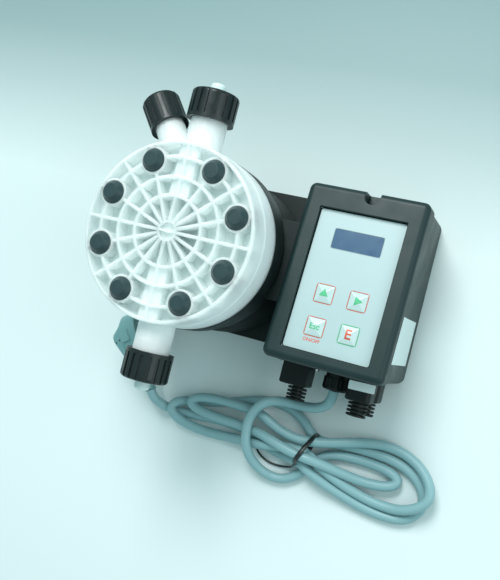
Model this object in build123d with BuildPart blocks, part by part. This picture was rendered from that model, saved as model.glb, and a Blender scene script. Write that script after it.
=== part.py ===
"""Diaphragm metering pump, lying on its back: solenoid drive, pump head, control box and supply lead.

Frame: +Z is the axis of the pump head and points out of the wall face, +X runs towards the control
box and +Y towards the discharge valve. The origin is where the head axis meets the wall face.
All sizes are in millimetres.
"""

import os
from math import atan2, cos, degrees, radians, sin, sqrt, tan

from build123d import *

os.makedirs("parts", exist_ok=True)

# ---- fits -----------------------------------------------------------------------------------------
running_gap = 0.05  # radial, a shaft that slides in its bush
slip_gap = 0.1  # radial, pieces that are put together by hand
thread_gap = 0.3  # radial, a union nut over its thread
key_gap = 0.2  # each side of a key in its window

# ---- drive housing --------------------------------------------------------------------------------
back_plate_size = 117.0  # across the square wall plate
back_plate_thickness = 8.0
back_plate_corner = 8.0
barrel_radius = 58.0  # between the cooling rings
cooling_ring_height = 1.6
cooling_ring_width = 1.2
cooling_ring_pitch = 2.9
cooling_ring_start = 12.0
housing_front = 71.0
collar_radius = 61.0
collar_length = 9.0
cavity_radius = 50.2
cavity_floor = 6.0
bridge_low = -26.0  # the block that carries the wires across to the control box
bridge_high = 31.0
bridge_front = 70.0
bridge_step = 50.0  # above this the bridge stops short of the bezel
wire_duct_radius = 6.0
wire_duct_height = 35.0
wall_hole_spacing = 100.0
wall_hole_radius = 2.75
wall_hole_depth = 6.0

# ---- solenoid -------------------------------------------------------------------------------------
yoke_radius = 50.0
yoke_wall = 8.0
yoke_height = 54.0
core_radius = 15.0
core_height = 18.0
bobbin_bore = 15.6
bobbin_wall = 1.4
bobbin_flange = 2.0
bobbin_flange_radius = 41.0
winding_radius = 39.5
pole_thickness = 8.0
bush_radius = 8.0
bush_flange_radius = 11.0
bush_flange = 1.5
armature_radius = 14.8
armature_gap = 1.5  # between the resting armature and the front pole
stroke = 1.25
rod_radius = 5.0
stud_radius = 3.0
spring_bore_radius = 9.0
spring_bore_depth = 8.0
spring_wire_radius = 0.7
spring_radius = 7.0
spring_turns = 4

# ---- head joint -----------------------------------------------------------------------------------
flange_ring_radius = 62.5
flange_ring_thickness = 19.0
flange_ring_floor = 3.0
drain_slot_width = 3.0
drain_slot_depth = 2.0
drain_slot_length = 20.0
ring_screw_circle = 55.6
ring_screw_angles = (42, 138, 222, 318)
ring_screw_radius = 1.5
ring_screw_head_radius = 2.8
ring_screw_head = 3.0
ring_screw_length = 24.0
carrier_space_radius = 40.0
carrier_radius = 33.0
carrier_thickness = 6.0
diaphragm_radius = 45.0
diaphragm_rim = 2.5
diaphragm_web = 2.0
diaphragm_boss_radius = 12.0
diaphragm_boss_length = 4.0

# ---- pump head ------------------------------------------------------------------------------------
head_radius = 62.2
head_thickness = 41.0
head_band_height = 21.0  # full-radius band above the joint face
head_step = 0.6
head_front_radius = 61.4
head_edge_fillet = 1.5
rim_inner_radius = 59.0
pocket_depth = 10.5
rib_width = 2.2
ring_rib_radii = (50.0, 36.5, 24.0)
hub_radius = 7.0
hub_recess_radius = 5.6
hub_recess_depth = 3.0
hub_rib_width = 1.5
bolt_circle_radius = 49.5
bolt_angles = (21, 63, 117, 159, 201, 243, 297, 339)
plain_rib_angles = (0, 42, 90, 138, 180, 222, 270, 318)
boss_radius = 9.6
chamber_radius = 36.0
chamber_depth = 4.5
duct_width = 14.0
duct_rise = 7.0  # above the pocket floor
channel_radius = 4.0
channel_offset = 26.0
drain_hole_radius = 1.0
drain_hole_place = (-10.0, -54.6)

# ---- head screws and their caps -------------------------------------------------------------------
screw_radius = 2.5
screw_head_radius = 4.2
screw_head_height = 5.0
screw_seat_depth = 9.0
screw_length = 46.0
cap_radius = 8.1
cap_top_radius = 5.0
cap_height = 4.6
cap_stem_radius = 5.2
cap_stem_length = 2.0

# ---- valve ports ----------------------------------------------------------------------------------
port_height = 19.0  # above the joint face
neck_radius = 12.75
neck_end = 95.0  # from the head axis
neck_relief = 1.0
thread_radius = 13.2
thread_rise = 0.8
thread_pitch = 3.0
thread_start = 82.5
thread_turns = 4
pocket_radius = 9.0
pocket_floor = 74.0
seat_length = 6.0
seat_bore = 3.2
ball_radius = 4.7
ball_lift = 2.0
ball_gap = 0.06
cage_bore = 5.1
washer_thickness = 1.2
nipple_flange_radius = 12.3
nipple_flange = 1.9
nipple_root_radius = 5.6  # inside the nut's end wall
nipple_radius = 5.4
nipple_length = 9.2
nipple_root_length = 3.2
nipple_nose = 2.2
nipple_bore = 2.6
nut_radius = 16.5
nut_start = 80.5
nut_length = 20.3
nut_wall = 2.6
nut_hole_gap = 0.6
nut_grooves = 18
nut_groove_width = 2.2
nut_groove_depth = 1.1
nut_collar = 2.6
nut_end_fillet = 2.6

# ---- vent port ------------------------------------------------------------------------------------
vent_lean = 8.0  # degrees back towards the wall face
vent_turn = 129.2  # degrees from +X, seen along the head axis
vent_root = 34.0  # from the head axis, along the discharge port
vent_neck_radius = 10.5
vent_neck_end = 70.0  # from the vent root
vent_thread_radius = 10.9
vent_nut_radius = 13.75
vent_nut_start = 51.7
vent_nut_length = 24.0
vent_pocket_radius = 6.5
vent_pocket_floor = 43.0
vent_spindle_radius = 6.3
vent_tip_radius = 3.8
vent_bore = 1.5

# ---- control box ----------------------------------------------------------------------------------
panel_tilt = 6.8  # degrees, the panel's lower edge stands further from the wall
panel_centre = (111.1, -1.3, 78.5)
bezel_width = 85.8
bezel_height = 125.0
bezel_corner = 5.0
bezel_depth = 20.0
bezel_fillet = 4.5
bezel_wall = 3.0
bezel_lip = 5.5
window_width = 61.9
window_height = 100.3
window_drop = 3.3
plate_recess = 3.5
plate_margin = 1.7
notch_width = 11.0
notch_shift = 2.8  # to the right of the bezel's middle
notch_depth = 8.5
notch_floor = 3.0
box_inset = 0.8
box_wall = 2.8
box_corner = 6.0
seal_thickness = 1.0
seal_inset = 0.5
column_radius = 6.0
column_hole_radius = 2.2
column_bore_radius = 4.0
column_place = (35.5, 55.0)
box_screw_radius = 2.0
box_screw_head_radius = 3.5
box_screw_head = 3.0
box_screw_length = 38.0
box_screw_grip = 9.0  # into the bezel
board_width = 75.6
board_height = 100.0
board_thickness = 1.6
board_depth = 16.0
board_boss_radius = 2.9
board_boss_place = (34.9, 40.0)
board_screw_radius = 1.25
board_screw_head_radius = 2.4
board_screw_head = 1.5
board_screw_length = 8.0

# ---- display and keys -----------------------------------------------------------------------------
display_width = 34.7
display_height = 14.0
display_place = (0.6, 27.1)
display_margin = 2.5
key_size = 12.8
key_top_size = 8.6
key_rise = 1.6
key_flange = 0.9
key_flange_margin = 0.9
key_stem_radius = 2.5
key_travel = 0.5
key_places = {
    "key_up": (-11.8, -12.2),
    "key_right": (11.8, -12.2),
    "key_escape": (-11.8, -35.5),
    "key_enter": (11.8, -35.5),
}
switch_size = 6.0
switch_height = 3.4

# ---- connectors on the lower wall -----------------------------------------------------------------
signal_places = {"level_connector": (134.0, 47.0), "remote_connector": (134.0, 19.5)}
signal_width = 18.0
signal_depth = 21.0
signal_length = 16.5
signal_corner = 4.0
alarm_place = (83.5, 36.0)
alarm_width = 20.0
alarm_depth = 20.0
alarm_length = 15.5
alarm_flange_width = 30.0
alarm_flange = 3.0
alarm_offset = 2.5  # from the flange's middle to the relief's axis
relief_radius = 7.0
relief_core_radius = 4.0
relief_turns = 4
relief_pitch = 2.6
relief_turn_width = 1.3
flange_screw_spacing = 25.6
flange_screw_length = 6.5
flange_screw_radius = 1.25
flange_screw_head_radius = 2.2
flange_screw_head = 1.6
gland_place = (112.0, 33.0)
gland_body_radius = 8.4
gland_body_length = 6.0
gland_nut_radius = 9.4
gland_nut_length = 9.0
gland_flutes = 12

# ---- supply lead ----------------------------------------------------------------------------------
lead_diameter = 7.4
lead_route = (
    (112.0, -78.0, 33.0),
    (111.5, -86.0, 31.5),
    (105.5, -92.8, 27.8),
    (94.5, -96.0, 23.8),
    (80.0, -96.5, 21.0),
    (66.5, -98.2, 20.2),
    (56.2, -104.2, 20.0),
    (50.6, -114.4, 20.0),
    (50.2, -126.8, 20.0),
    (53.2, -138.6, 19.4),
    (58.8, -148.4, 13.2),
    (68.6, -155.6, 6.0),
    (81.2, -156.8, 4.2),
    (92.0, -151.0, 4.2),
    (99.2, -143.2, 4.6),
    (104.4, -135.2, 4.9),
)
plug_lead_route = (
    (-36.05, -118.56, 19.0),
    (-32.6, -123.5, 18.2),
    (-28.2, -127.4, 13.6),
    (-22.6, -129.6, 9.0),
    (-16.4, -130.6, 6.8),
)
hank_bottom = 0.9
hank_top = 15.4
# centre x, centre y and radius of the round ends that the coils bend about
hank_right_ends = ((97.0, -128.0, 11.0), (157.0, -124.5, 19.0), (178.0, -134.0, 18.5), (165.0, -144.0, 18.5))
hank_left_ends = ((97.0, -128.0, 11.0), (45.0, -124.5, 15.5), (20.0, -125.2, 17.6), (-5.0, -126.5, 17.0))
tie_thickness = 0.6
tie_width = 3.2
tie_corner = 0.8
tie_slack = 2.6  # each side of the waist, where the bundle widens
tie_turn = 68.0  # degrees from +X, the line that the tie follows across the waist

# ---- mains plug -----------------------------------------------------------------------------------
plug_centre = (-62.1, -81.5)
plug_turn = -54.9  # degrees from +X, the way the lead leaves
plug_radius = 18.9
plug_front = 11.0  # from the lead's axis to the pin face
plug_back = 9.0
plug_reach = 45.3  # from the pin axis to the end of the relief
plug_neck_radius = 7.5
plug_relief_radius = 5.4
plug_relief_length = 9.0
pin_radius = 2.4
pin_length = 19.0
pin_spacing = 19.0
earth_clip_width = 4.0
earth_clip_length = 12.0
earth_clip_thickness = 0.8

# ---- worked out -----------------------------------------------------------------------------------
bezel_left = panel_centre[0] - bezel_width / 2
box_left = bezel_left + box_inset
housing_right = box_left
flange_ring_front = housing_front + flange_ring_thickness
head_back = flange_ring_front
head_front = head_back + head_thickness
port_level = head_back + port_height
pocket_level = head_front - pocket_depth
yoke_top = cavity_floor + yoke_height
pole_top = yoke_top + pole_thickness
armature_top = yoke_top - armature_gap
armature_bottom = cavity_floor + core_height + armature_gap
carrier_bottom = flange_ring_front - diaphragm_boss_length - diaphragm_web - carrier_thickness
boss_bottom = carrier_bottom + carrier_thickness
wall_lower = panel_centre[1] - (bezel_height / 2 - box_inset)
ball_seat_offset = sqrt(ball_radius**2 - seat_bore**2) + ball_gap
nipple_start = neck_end + washer_thickness
nut_end = nut_start + nut_length

head_joint = Plane.XY.offset(head_back)
head_face = Plane.XY.offset(head_front)
panel = Plane(
    origin=panel_centre,
    x_dir=(1, 0, 0),
    z_dir=(0, sin(radians(panel_tilt)), cos(radians(panel_tilt))),
)
discharge_port = Plane(origin=(0, 0, port_level), x_dir=(1, 0, 0), z_dir=(0, 1, 0))
suction_port = Plane(origin=(0, 0, port_level), x_dir=(1, 0, 0), z_dir=(0, -1, 0))
vent_port = Plane(
    origin=(0, vent_root, port_level),
    x_dir=(sin(radians(vent_turn)), -cos(radians(vent_turn)), 0),
    z_dir=(
        cos(radians(vent_turn)) * cos(radians(vent_lean)),
        sin(radians(vent_turn)) * cos(radians(vent_lean)),
        -sin(radians(vent_lean)),
    ),
)


def save(solid, name):
    """Name a finished piece and write it out."""
    solid.label = name
    export_step(solid, f"parts/{name}.step")


def profile_plane(axis_plane):
    """The plane through a turned piece's axis: local x is the radius, local y the distance along."""
    return Plane(
        origin=axis_plane.origin,
        x_dir=axis_plane.x_dir,
        z_dir=axis_plane.x_dir.cross(axis_plane.z_dir),
    )


def turned(axis_plane, outline):
    """A solid of revolution about axis_plane's normal, from (radius, distance) corners."""
    with BuildPart() as piece:
        with BuildSketch(profile_plane(axis_plane)):
            with BuildLine():
                Polyline(*outline, close=True)
            make_face()
        revolve(axis=Axis(axis_plane.origin, axis_plane.z_dir))
    return piece.part


def tube(axis_plane, start, length, outer, inner=0.0):
    """A plain cylinder or sleeve along axis_plane's normal."""
    with BuildPart() as piece:
        with BuildSketch(axis_plane.offset(start)):
            Circle(outer)
            if inner > 0:
                Circle(inner, mode=Mode.SUBTRACT)
        extrude(amount=length)
    return piece.part


def box_outline(width, height, corner, low, high):
    """The control box's upright outline, between a lower and an upper sloping or level plane."""
    with BuildPart() as piece:
        with BuildSketch(Plane.XY):
            with Locations(panel_centre[:2]):
                RectangleRounded(width, height, corner)
        extrude(amount=panel_centre[2] * 1.5)
        split(bisect_by=high, keep=Keep.BOTTOM)
        if low is not None:
            split(bisect_by=low, keep=Keep.TOP)
    return piece.part


def seam_height(y):
    """Height of the bezel's back plane at a place across the box."""
    back = panel.offset(-bezel_depth)
    return back.origin.Z - (y - back.origin.Y) * tan(radians(panel_tilt))


# ==== drive housing ================================================================================
with BuildPart() as motor_housing:
    with BuildSketch(Plane.XY):
        RectangleRounded(back_plate_size, back_plate_size, back_plate_corner)
        with Locations((0, 0)):
            Rectangle(housing_right, back_plate_size, align=(Align.MIN, Align.CENTER))
    extrude(amount=back_plate_thickness)
    with BuildSketch(Plane.XY):
        Circle(barrel_radius)
    extrude(amount=housing_front)
    with BuildSketch(Plane.XY.offset(housing_front - collar_length)):
        Circle(collar_radius)
    extrude(amount=collar_length)
    ring_count = int((housing_front - collar_length - cooling_ring_start) / cooling_ring_pitch)
    with BuildSketch(Plane.XZ):
        for ring in range(ring_count):
            with Locations((barrel_radius - 1, cooling_ring_start + ring * cooling_ring_pitch)):
                Rectangle(cooling_ring_height + 1, cooling_ring_width, align=(Align.MIN, Align.MIN))
    revolve(axis=Axis.Z)
    for right_end, front in ((housing_right, bridge_step), (bezel_left - slip_gap, bridge_front)):
        with BuildSketch(Plane.XY):
            with Locations((0, bridge_low)):
                Rectangle(right_end, bridge_high - bridge_low, align=(Align.MIN, Align.MIN))
        extrude(amount=front)
    with BuildSketch(Plane.XY.offset(cavity_floor)):
        Circle(cavity_radius)
    extrude(amount=housing_front, mode=Mode.SUBTRACT)
    with BuildSketch(Plane.YZ):
        with Locations(((bridge_low + bridge_high) / 2, wire_duct_height)):
            Circle(wire_duct_radius)
    extrude(amount=housing_right, mode=Mode.SUBTRACT)
    with BuildSketch(Plane.XY):
        with GridLocations(wall_hole_spacing, wall_hole_spacing, 2, 2):
            Circle(wall_hole_radius)
    extrude(amount=wall_hole_depth, mode=Mode.SUBTRACT)
    with BuildSketch(Plane.XY.offset(housing_front)):
        for angle in ring_screw_angles:
            with PolarLocations(ring_screw_circle, 1, angle):
                Circle(ring_screw_radius + running_gap)
    extrude(amount=-(ring_screw_length + ring_screw_head + 1 - flange_ring_thickness), mode=Mode.SUBTRACT)
save(motor_housing.part, "motor_housing")

# ==== solenoid =====================================================================================
with BuildPart() as magnet_yoke:
    add(tube(Plane.XY, cavity_floor, yoke_height, yoke_radius, yoke_radius - yoke_wall))
    add(tube(Plane.XY, cavity_floor, yoke_wall, yoke_radius))
    add(tube(Plane.XY, cavity_floor, core_height, core_radius))
    with BuildSketch(Plane.YZ):
        with Locations(((bridge_low + bridge_high) / 2, wire_duct_height)):
            Circle(wire_duct_radius)
    extrude(amount=yoke_radius, mode=Mode.SUBTRACT)
save(magnet_yoke.part, "magnet_yoke")

bobbin_low = cavity_floor + yoke_wall
with BuildPart() as coil_bobbin:
    add(tube(Plane.XY, bobbin_low, yoke_top - bobbin_low, bobbin_bore + bobbin_wall, bobbin_bore))
    add(tube(Plane.XY, bobbin_low, bobbin_flange, bobbin_flange_radius, bobbin_bore))
    add(tube(Plane.XY, yoke_top - bobbin_flange, bobbin_flange, bobbin_flange_radius, bobbin_bore))
save(coil_bobbin.part, "coil_bobbin")

save(
    tube(
        Plane.XY,
        bobbin_low + bobbin_flange,
        yoke_top - bobbin_low - 2 * bobbin_flange,
        winding_radius,
        bobbin_bore + bobbin_wall,
    ),
    "coil_winding",
)
save(tube(Plane.XY, yoke_top, pole_thickness, yoke_radius, bush_radius), "front_pole")

with BuildPart() as guide_bush:
    add(tube(Plane.XY, yoke_top, pole_thickness + bush_flange, bush_radius, rod_radius + running_gap))
    add(tube(Plane.XY, pole_top, bush_flange, bush_flange_radius, rod_radius + running_gap))
save(guide_bush.part, "guide_bush")

with BuildPart() as armature:
    add(tube(Plane.XY, armature_bottom, armature_top - armature_bottom, armature_radius, rod_radius))
    with BuildSketch(Plane.XY.offset(armature_top)):
        Circle(spring_bore_radius)
    extrude(amount=-spring_bore_depth, mode=Mode.SUBTRACT)
    chamfer(armature.edges().filter_by(GeomType.CIRCLE).group_by(Axis.Z)[0].sort_by(SortBy.RADIUS)[-1], 0.8)
save(armature.part, "armature")

with BuildPart() as push_rod:
    add(tube(Plane.XY, armature_bottom, carrier_bottom - armature_bottom, rod_radius))
    add(tube(Plane.XY, carrier_bottom, carrier_thickness + diaphragm_boss_length - 1, stud_radius))
save(push_rod.part, "push_rod")

spring_low = armature_top - spring_bore_depth
spring_height = yoke_top - spring_low
with BuildPart() as return_spring:
    coil_height = spring_height - 2 * spring_wire_radius - 2 * slip_gap
    with BuildLine():
        coil_path = Helix(
            pitch=coil_height / spring_turns,
            height=coil_height,
            radius=spring_radius,
            center=(0, 0, spring_low + spring_wire_radius + slip_gap),
        )
    with BuildSketch(Plane(origin=coil_path @ 0, z_dir=coil_path % 0)):
        Circle(spring_wire_radius)
    sweep(path=coil_path, is_frenet=True)
save(return_spring.part, "return_spring")

# ==== joint between drive and head =================================================================
screw_tip = head_front - screw_seat_depth - screw_length
with BuildPart() as flange_ring:
    add(tube(Plane.XY, housing_front, flange_ring_thickness, flange_ring_radius, carrier_space_radius))
    add(tube(Plane.XY, housing_front, flange_ring_floor, flange_ring_radius, bush_flange_radius + slip_gap))
    chamfer(flange_ring.edges().filter_by(GeomType.CIRCLE).group_by(Axis.Z)[0].sort_by(SortBy.RADIUS)[-1], 2)
    with BuildSketch(head_joint):
        for angle in bolt_angles:
            with PolarLocations(bolt_circle_radius, 1, angle):
                Circle(screw_radius + running_gap)
    extrude(amount=screw_tip - slip_gap * 5 - head_back, mode=Mode.SUBTRACT)
    with BuildSketch(Plane.XY.offset(housing_front)):
        with Locations((0, -flange_ring_radius)):
            Rectangle(drain_slot_width, 2 * drain_slot_length)
    extrude(amount=drain_slot_depth, mode=Mode.SUBTRACT)
    add(tube(Plane.XY, pole_top, housing_front - pole_top, cavity_radius - slip_gap, carrier_space_radius))
    for angle in ring_screw_angles:
        with BuildSketch(head_joint):
            with PolarLocations(ring_screw_circle, 1, angle):
                Circle(ring_screw_radius + slip_gap)
        extrude(amount=-flange_ring_thickness, mode=Mode.SUBTRACT)
        with BuildSketch(head_joint):
            with PolarLocations(ring_screw_circle, 1, angle):
                Circle(ring_screw_head_radius + slip_gap)
        extrude(amount=-ring_screw_head - slip_gap, mode=Mode.SUBTRACT)
save(flange_ring.part, "flange_ring")

with BuildPart() as ring_screws:
    for angle in ring_screw_angles:
        with BuildSketch(head_joint.offset(-slip_gap - ring_screw_head)):
            with PolarLocations(ring_screw_circle, 1, angle):
                Circle(ring_screw_head_radius)
        extrude(amount=ring_screw_head)
        with BuildSketch(head_joint.offset(-slip_gap - ring_screw_head)):
            with PolarLocations(ring_screw_circle, 1, angle):
                Circle(ring_screw_radius)
        extrude(amount=-ring_screw_length)
save(ring_screws.part, "ring_screws")

save(
    turned(
        Plane.XY,
        (
            (stud_radius, carrier_bottom),
            (rod_radius + 4, carrier_bottom),
            (carrier_radius, carrier_bottom + carrier_thickness / 2),
            (carrier_radius, boss_bottom),
            (stud_radius, boss_bottom),
        ),
    ),
    "diaphragm_carrier",
)

web_low = head_back - diaphragm_web
with BuildPart() as diaphragm:
    add(
        turned(
            Plane.XY,
            (
                (0, boss_bottom + diaphragm_boss_length - 0.5),
                (stud_radius + slip_gap, boss_bottom + diaphragm_boss_length - 0.5),
                (stud_radius + slip_gap, boss_bottom),
                (diaphragm_boss_radius, boss_bottom),
                (diaphragm_boss_radius + 2, web_low),
                (carrier_space_radius - 3, web_low),
                (carrier_space_radius - 1, head_back),
                (diaphragm_radius, head_back),
                (diaphragm_radius, head_back + diaphragm_rim),
                (diaphragm_radius - 6, head_back + diaphragm_rim),
                (diaphragm_radius - 8, head_back + 0.3),
                (0, head_back + 0.3),
            ),
        )
    )
save(diaphragm.part, "diaphragm")


# ==== pump head ====================================================================================
def neck(port, start, end, radius, thread, thread_from):
    """A port's neck: a smooth tube, a relief groove, then the ridges of its thread."""
    with BuildPart() as piece:
        add(tube(port, start, end - start, radius))
        with BuildSketch(profile_plane(port)):
            for ridge in range(thread_turns):
                with BuildLine():
                    base = thread_from + ridge * thread_pitch
                    Polyline(
                        (radius - neck_relief, base),
                        (radius, base),
                        (thread, base + thread_rise),
                        (thread, base + thread_pitch / 2),
                        (radius, base + thread_pitch / 2 + thread_rise),
                        (radius - neck_relief, base + thread_pitch / 2 + thread_rise),
                        close=True,
                    )
                make_face()
        revolve(axis=Axis(port.origin, port.z_dir))
    return piece.part


with BuildPart() as pump_head:
    with BuildSketch(Plane.XZ):
        with BuildLine():
            band_top = head_back + head_band_height
            Polyline(
                (0, head_back),
                (head_radius, head_back),
                (head_radius, band_top),
                (head_radius - head_step, band_top + head_step),
                (head_radius - head_step, band_top + 2.5),
                (head_front_radius, head_front),
                (0, head_front),
                close=True,
            )
        make_face()
    revolve(axis=Axis.Z)
    rim_edge = pump_head.edges().filter_by(GeomType.CIRCLE).group_by(Axis.Z)[-1].sort_by(SortBy.RADIUS)[-1]
    fillet(rim_edge, head_edge_fillet)
    with BuildSketch(head_face, mode=Mode.PRIVATE) as ribs:
        for radius in ring_rib_radii:
            Circle(radius + rib_width / 2)
            Circle(radius - rib_width / 2, mode=Mode.SUBTRACT)
        for angle in plain_rib_angles:
            with Locations(Location((0, 0), angle)):
                Rectangle(rim_inner_radius + 1, rib_width, align=(Align.MIN, Align.CENTER))
        for angle in bolt_angles:
            with Locations(Location((0, 0), angle)):
                Rectangle(bolt_circle_radius, rib_width, align=(Align.MIN, Align.CENTER))
            with PolarLocations(bolt_circle_radius, 1, angle):
                Circle(boss_radius)
        Circle(hub_radius)
    with BuildSketch(head_face):
        Circle(rim_inner_radius)
        add(ribs.sketch, mode=Mode.SUBTRACT)
    extrude(amount=-pocket_depth, mode=Mode.SUBTRACT)
    for side in (-1, 1):
        duct_length = rim_inner_radius - ring_rib_radii[-1]
        with BuildSketch(Plane.XY.offset(pocket_level)):
            with Locations((0, side * (ring_rib_radii[-1] + duct_length / 2))):
                Rectangle(duct_width, duct_length + 2)
        extrude(amount=duct_rise)
    with BuildSketch(head_face):
        Circle(hub_recess_radius)
        Rectangle(2 * hub_radius, hub_rib_width, mode=Mode.SUBTRACT)
    extrude(amount=-hub_recess_depth, mode=Mode.SUBTRACT)
    neck_start = rim_inner_radius - 10
    add(neck(discharge_port, neck_start, neck_end, neck_radius, thread_radius, thread_start))
    add(neck(suction_port, neck_start, neck_end, neck_radius, thread_radius, thread_start))
    vent_thread_start = vent_nut_start + 2
    add(neck(vent_port, 14, vent_neck_end, vent_neck_radius, vent_thread_radius, vent_thread_start))
    for port in (discharge_port, suction_port):
        add(tube(port, pocket_floor, neck_end, pocket_radius), mode=Mode.SUBTRACT)
        add(tube(port, channel_offset - channel_radius, pocket_floor, channel_radius), mode=Mode.SUBTRACT)
    add(tube(vent_port, vent_pocket_floor, vent_neck_end, vent_pocket_radius), mode=Mode.SUBTRACT)
    add(tube(vent_port, 0, vent_pocket_floor, vent_bore), mode=Mode.SUBTRACT)
    with BuildSketch(head_joint):
        with Locations((0, channel_offset), (0, -channel_offset)):
            Circle(channel_radius)
    extrude(amount=port_height, mode=Mode.SUBTRACT)
    add(tube(Plane.XY, head_back, diaphragm_rim, diaphragm_radius + slip_gap), mode=Mode.SUBTRACT)
    add(tube(Plane.XY, head_back, diaphragm_rim + chamber_depth, chamber_radius), mode=Mode.SUBTRACT)
    with BuildSketch(head_face):
        for angle in bolt_angles:
            with PolarLocations(bolt_circle_radius, 1, angle):
                Circle(screw_radius + slip_gap)
    extrude(amount=-head_thickness, mode=Mode.SUBTRACT)
    with BuildSketch(head_face):
        for angle in bolt_angles:
            with PolarLocations(bolt_circle_radius, 1, angle):
                Circle(cap_stem_radius + slip_gap)
    extrude(amount=-screw_seat_depth, mode=Mode.SUBTRACT)
    with BuildSketch(Plane.XY.offset(pocket_level)):
        with Locations(drain_hole_place):
            Circle(drain_hole_radius)
    extrude(amount=-pocket_depth, mode=Mode.SUBTRACT)
    add(
        tube(Plane.XY, housing_front, flange_ring_thickness, flange_ring_radius + slip_gap),
        mode=Mode.SUBTRACT,
    )
save(pump_head.part, "pump_head")

# ==== head screws and caps =========================================================================
screw_seat = head_front - screw_seat_depth
with BuildPart() as head_screws:
    for angle in bolt_angles:
        with BuildSketch(Plane.XY.offset(screw_seat)):
            with PolarLocations(bolt_circle_radius, 1, angle):
                Circle(screw_head_radius)
        extrude(amount=screw_head_height)
        with BuildSketch(Plane.XY.offset(screw_seat + screw_head_height)):
            with PolarLocations(bolt_circle_radius, 1, angle):
                RegularPolygon(screw_radius, 6)
        extrude(amount=-screw_radius, mode=Mode.SUBTRACT)
        with BuildSketch(Plane.XY.offset(screw_seat)):
            with PolarLocations(bolt_circle_radius, 1, angle):
                Circle(screw_radius)
        extrude(amount=-screw_length)
save(head_screws.part, "head_screws")

with BuildPart() as screw_caps:
    for angle in bolt_angles:
        with BuildSketch(head_face):
            with PolarLocations(bolt_circle_radius, 1, angle):
                Circle(cap_radius)
        with BuildSketch(Plane.XY.offset(head_front + cap_height)):
            with PolarLocations(bolt_circle_radius, 1, angle):
                Circle(cap_top_radius)
        loft()
        with BuildSketch(head_face):
            with PolarLocations(bolt_circle_radius, 1, angle):
                Circle(cap_stem_radius)
        extrude(amount=-cap_stem_length)
save(screw_caps.part, "screw_caps")


# ==== valves =======================================================================================
def valve_seat(port, face, way):
    """The ring that the ball closes. way is +1 when the ball lifts outwards, -1 when it lifts inwards."""
    return turned(
        port,
        (
            (seat_bore, face),
            (pocket_radius - slip_gap, face),
            (pocket_radius - slip_gap, face - way * seat_length),
            (seat_bore, face - way * seat_length),
        ),
    )


def valve_cage(port, face, way, length):
    """The sleeve that guides the ball and stops its lift, with four ways round the ball at its end."""
    chamber = ball_seat_offset + ball_radius + ball_lift + slip_gap
    start = face if way > 0 else face - length
    with BuildPart() as piece:
        add(tube(port, start, length, pocket_radius - slip_gap, seat_bore - 1))
        bore_start = face if way > 0 else face - chamber
        add(tube(port, bore_start, chamber, cage_bore), mode=Mode.SUBTRACT)
        with BuildSketch(port.offset(start)):
            with PolarLocations(cage_bore, 4):
                Circle(1.3)
        extrude(amount=length, mode=Mode.SUBTRACT)
    return piece.part


def union_nut(port, start, length, radius, bore, hole, inner_depth):
    """A ribbed union nut: an open collar, long ribs, a rounded end and a hole for the tail."""
    with BuildPart() as piece:
        with BuildSketch(port.offset(start)):
            Circle(radius)
        extrude(amount=length)
        end_edge = piece.edges().filter_by(GeomType.CIRCLE).sort_by(Axis(port.origin, port.z_dir))[-1]
        fillet(end_edge, nut_end_fillet)
        with BuildSketch(port.offset(start + nut_collar)):
            with PolarLocations(radius, nut_grooves):
                Rectangle(2 * nut_groove_depth, nut_groove_width)
        extrude(amount=length, mode=Mode.SUBTRACT)
        with BuildSketch(port.offset(start)):
            Circle(bore)
        extrude(amount=inner_depth, mode=Mode.SUBTRACT)
        with BuildSketch(port.offset(start)):
            Circle(hole)
        extrude(amount=length, mode=Mode.SUBTRACT)
    return piece.part


def hose_tail(port, start):
    """The white hose tail: a flange held by the union nut and a round-nosed spigot."""
    with BuildPart() as piece:
        add(tube(port, start, nipple_flange, nipple_flange_radius))
        add(tube(port, start, nipple_flange + nipple_root_length, nipple_root_radius))
        add(tube(port, start, nipple_flange + nipple_length, nipple_radius))
        tip = piece.edges().filter_by(GeomType.CIRCLE).sort_by(Axis(port.origin, port.z_dir))[-1]
        fillet(tip, nipple_nose)
        add(tube(port, start, nipple_flange + nipple_length, nipple_bore), mode=Mode.SUBTRACT)
    return piece.part


cage_length = neck_end - pocket_floor - seat_length
valve_layout = {
    "discharge": (discharge_port, pocket_floor + seat_length, 1),
    "suction": (suction_port, neck_end - seat_length, -1),
}
for name, (port, face, way) in valve_layout.items():
    save(valve_seat(port, face, way), f"{name}_valve_seat")
    save(valve_cage(port, face, way, cage_length), f"{name}_valve_cage")
    with BuildPart() as ball:
        with Locations(port.offset(face + way * ball_seat_offset).location):
            Sphere(ball_radius)
    save(ball.part, f"{name}_ball")
    save(tube(port, neck_end, washer_thickness, pocket_radius + 3, seat_bore), f"{name}_seal")
    save(hose_tail(port, nipple_start), f"{name}_hose_tail")
    nut_inner = nipple_start + nipple_flange + slip_gap - nut_start
    nut = union_nut(
        port,
        nut_start,
        nut_length,
        nut_radius,
        thread_radius + thread_gap,
        nipple_root_radius + nut_hole_gap,
        nut_inner,
    )
    save(nut, f"{name}_union_nut")

vent_seat = vent_neck_end + washer_thickness
with BuildPart() as vent_spindle:
    add(tube(vent_port, vent_pocket_floor + 1, vent_neck_end - vent_pocket_floor - 1, vent_spindle_radius))
    add(tube(vent_port, vent_neck_end, nipple_flange, vent_neck_radius - 1))
    add(tube(vent_port, vent_neck_end, vent_nut_start + vent_nut_length - vent_neck_end, vent_tip_radius))
    add(tube(vent_port, vent_pocket_floor, vent_nut_length + vent_nut_start, vent_bore), mode=Mode.SUBTRACT)
save(vent_spindle.part, "vent_spindle")
save(
    union_nut(
        vent_port,
        vent_nut_start,
        vent_nut_length,
        vent_nut_radius,
        vent_thread_radius + thread_gap,
        vent_tip_radius + nut_hole_gap,
        vent_neck_end + nipple_flange + slip_gap - vent_nut_start,
    ),
    "vent_nut",
)

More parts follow.
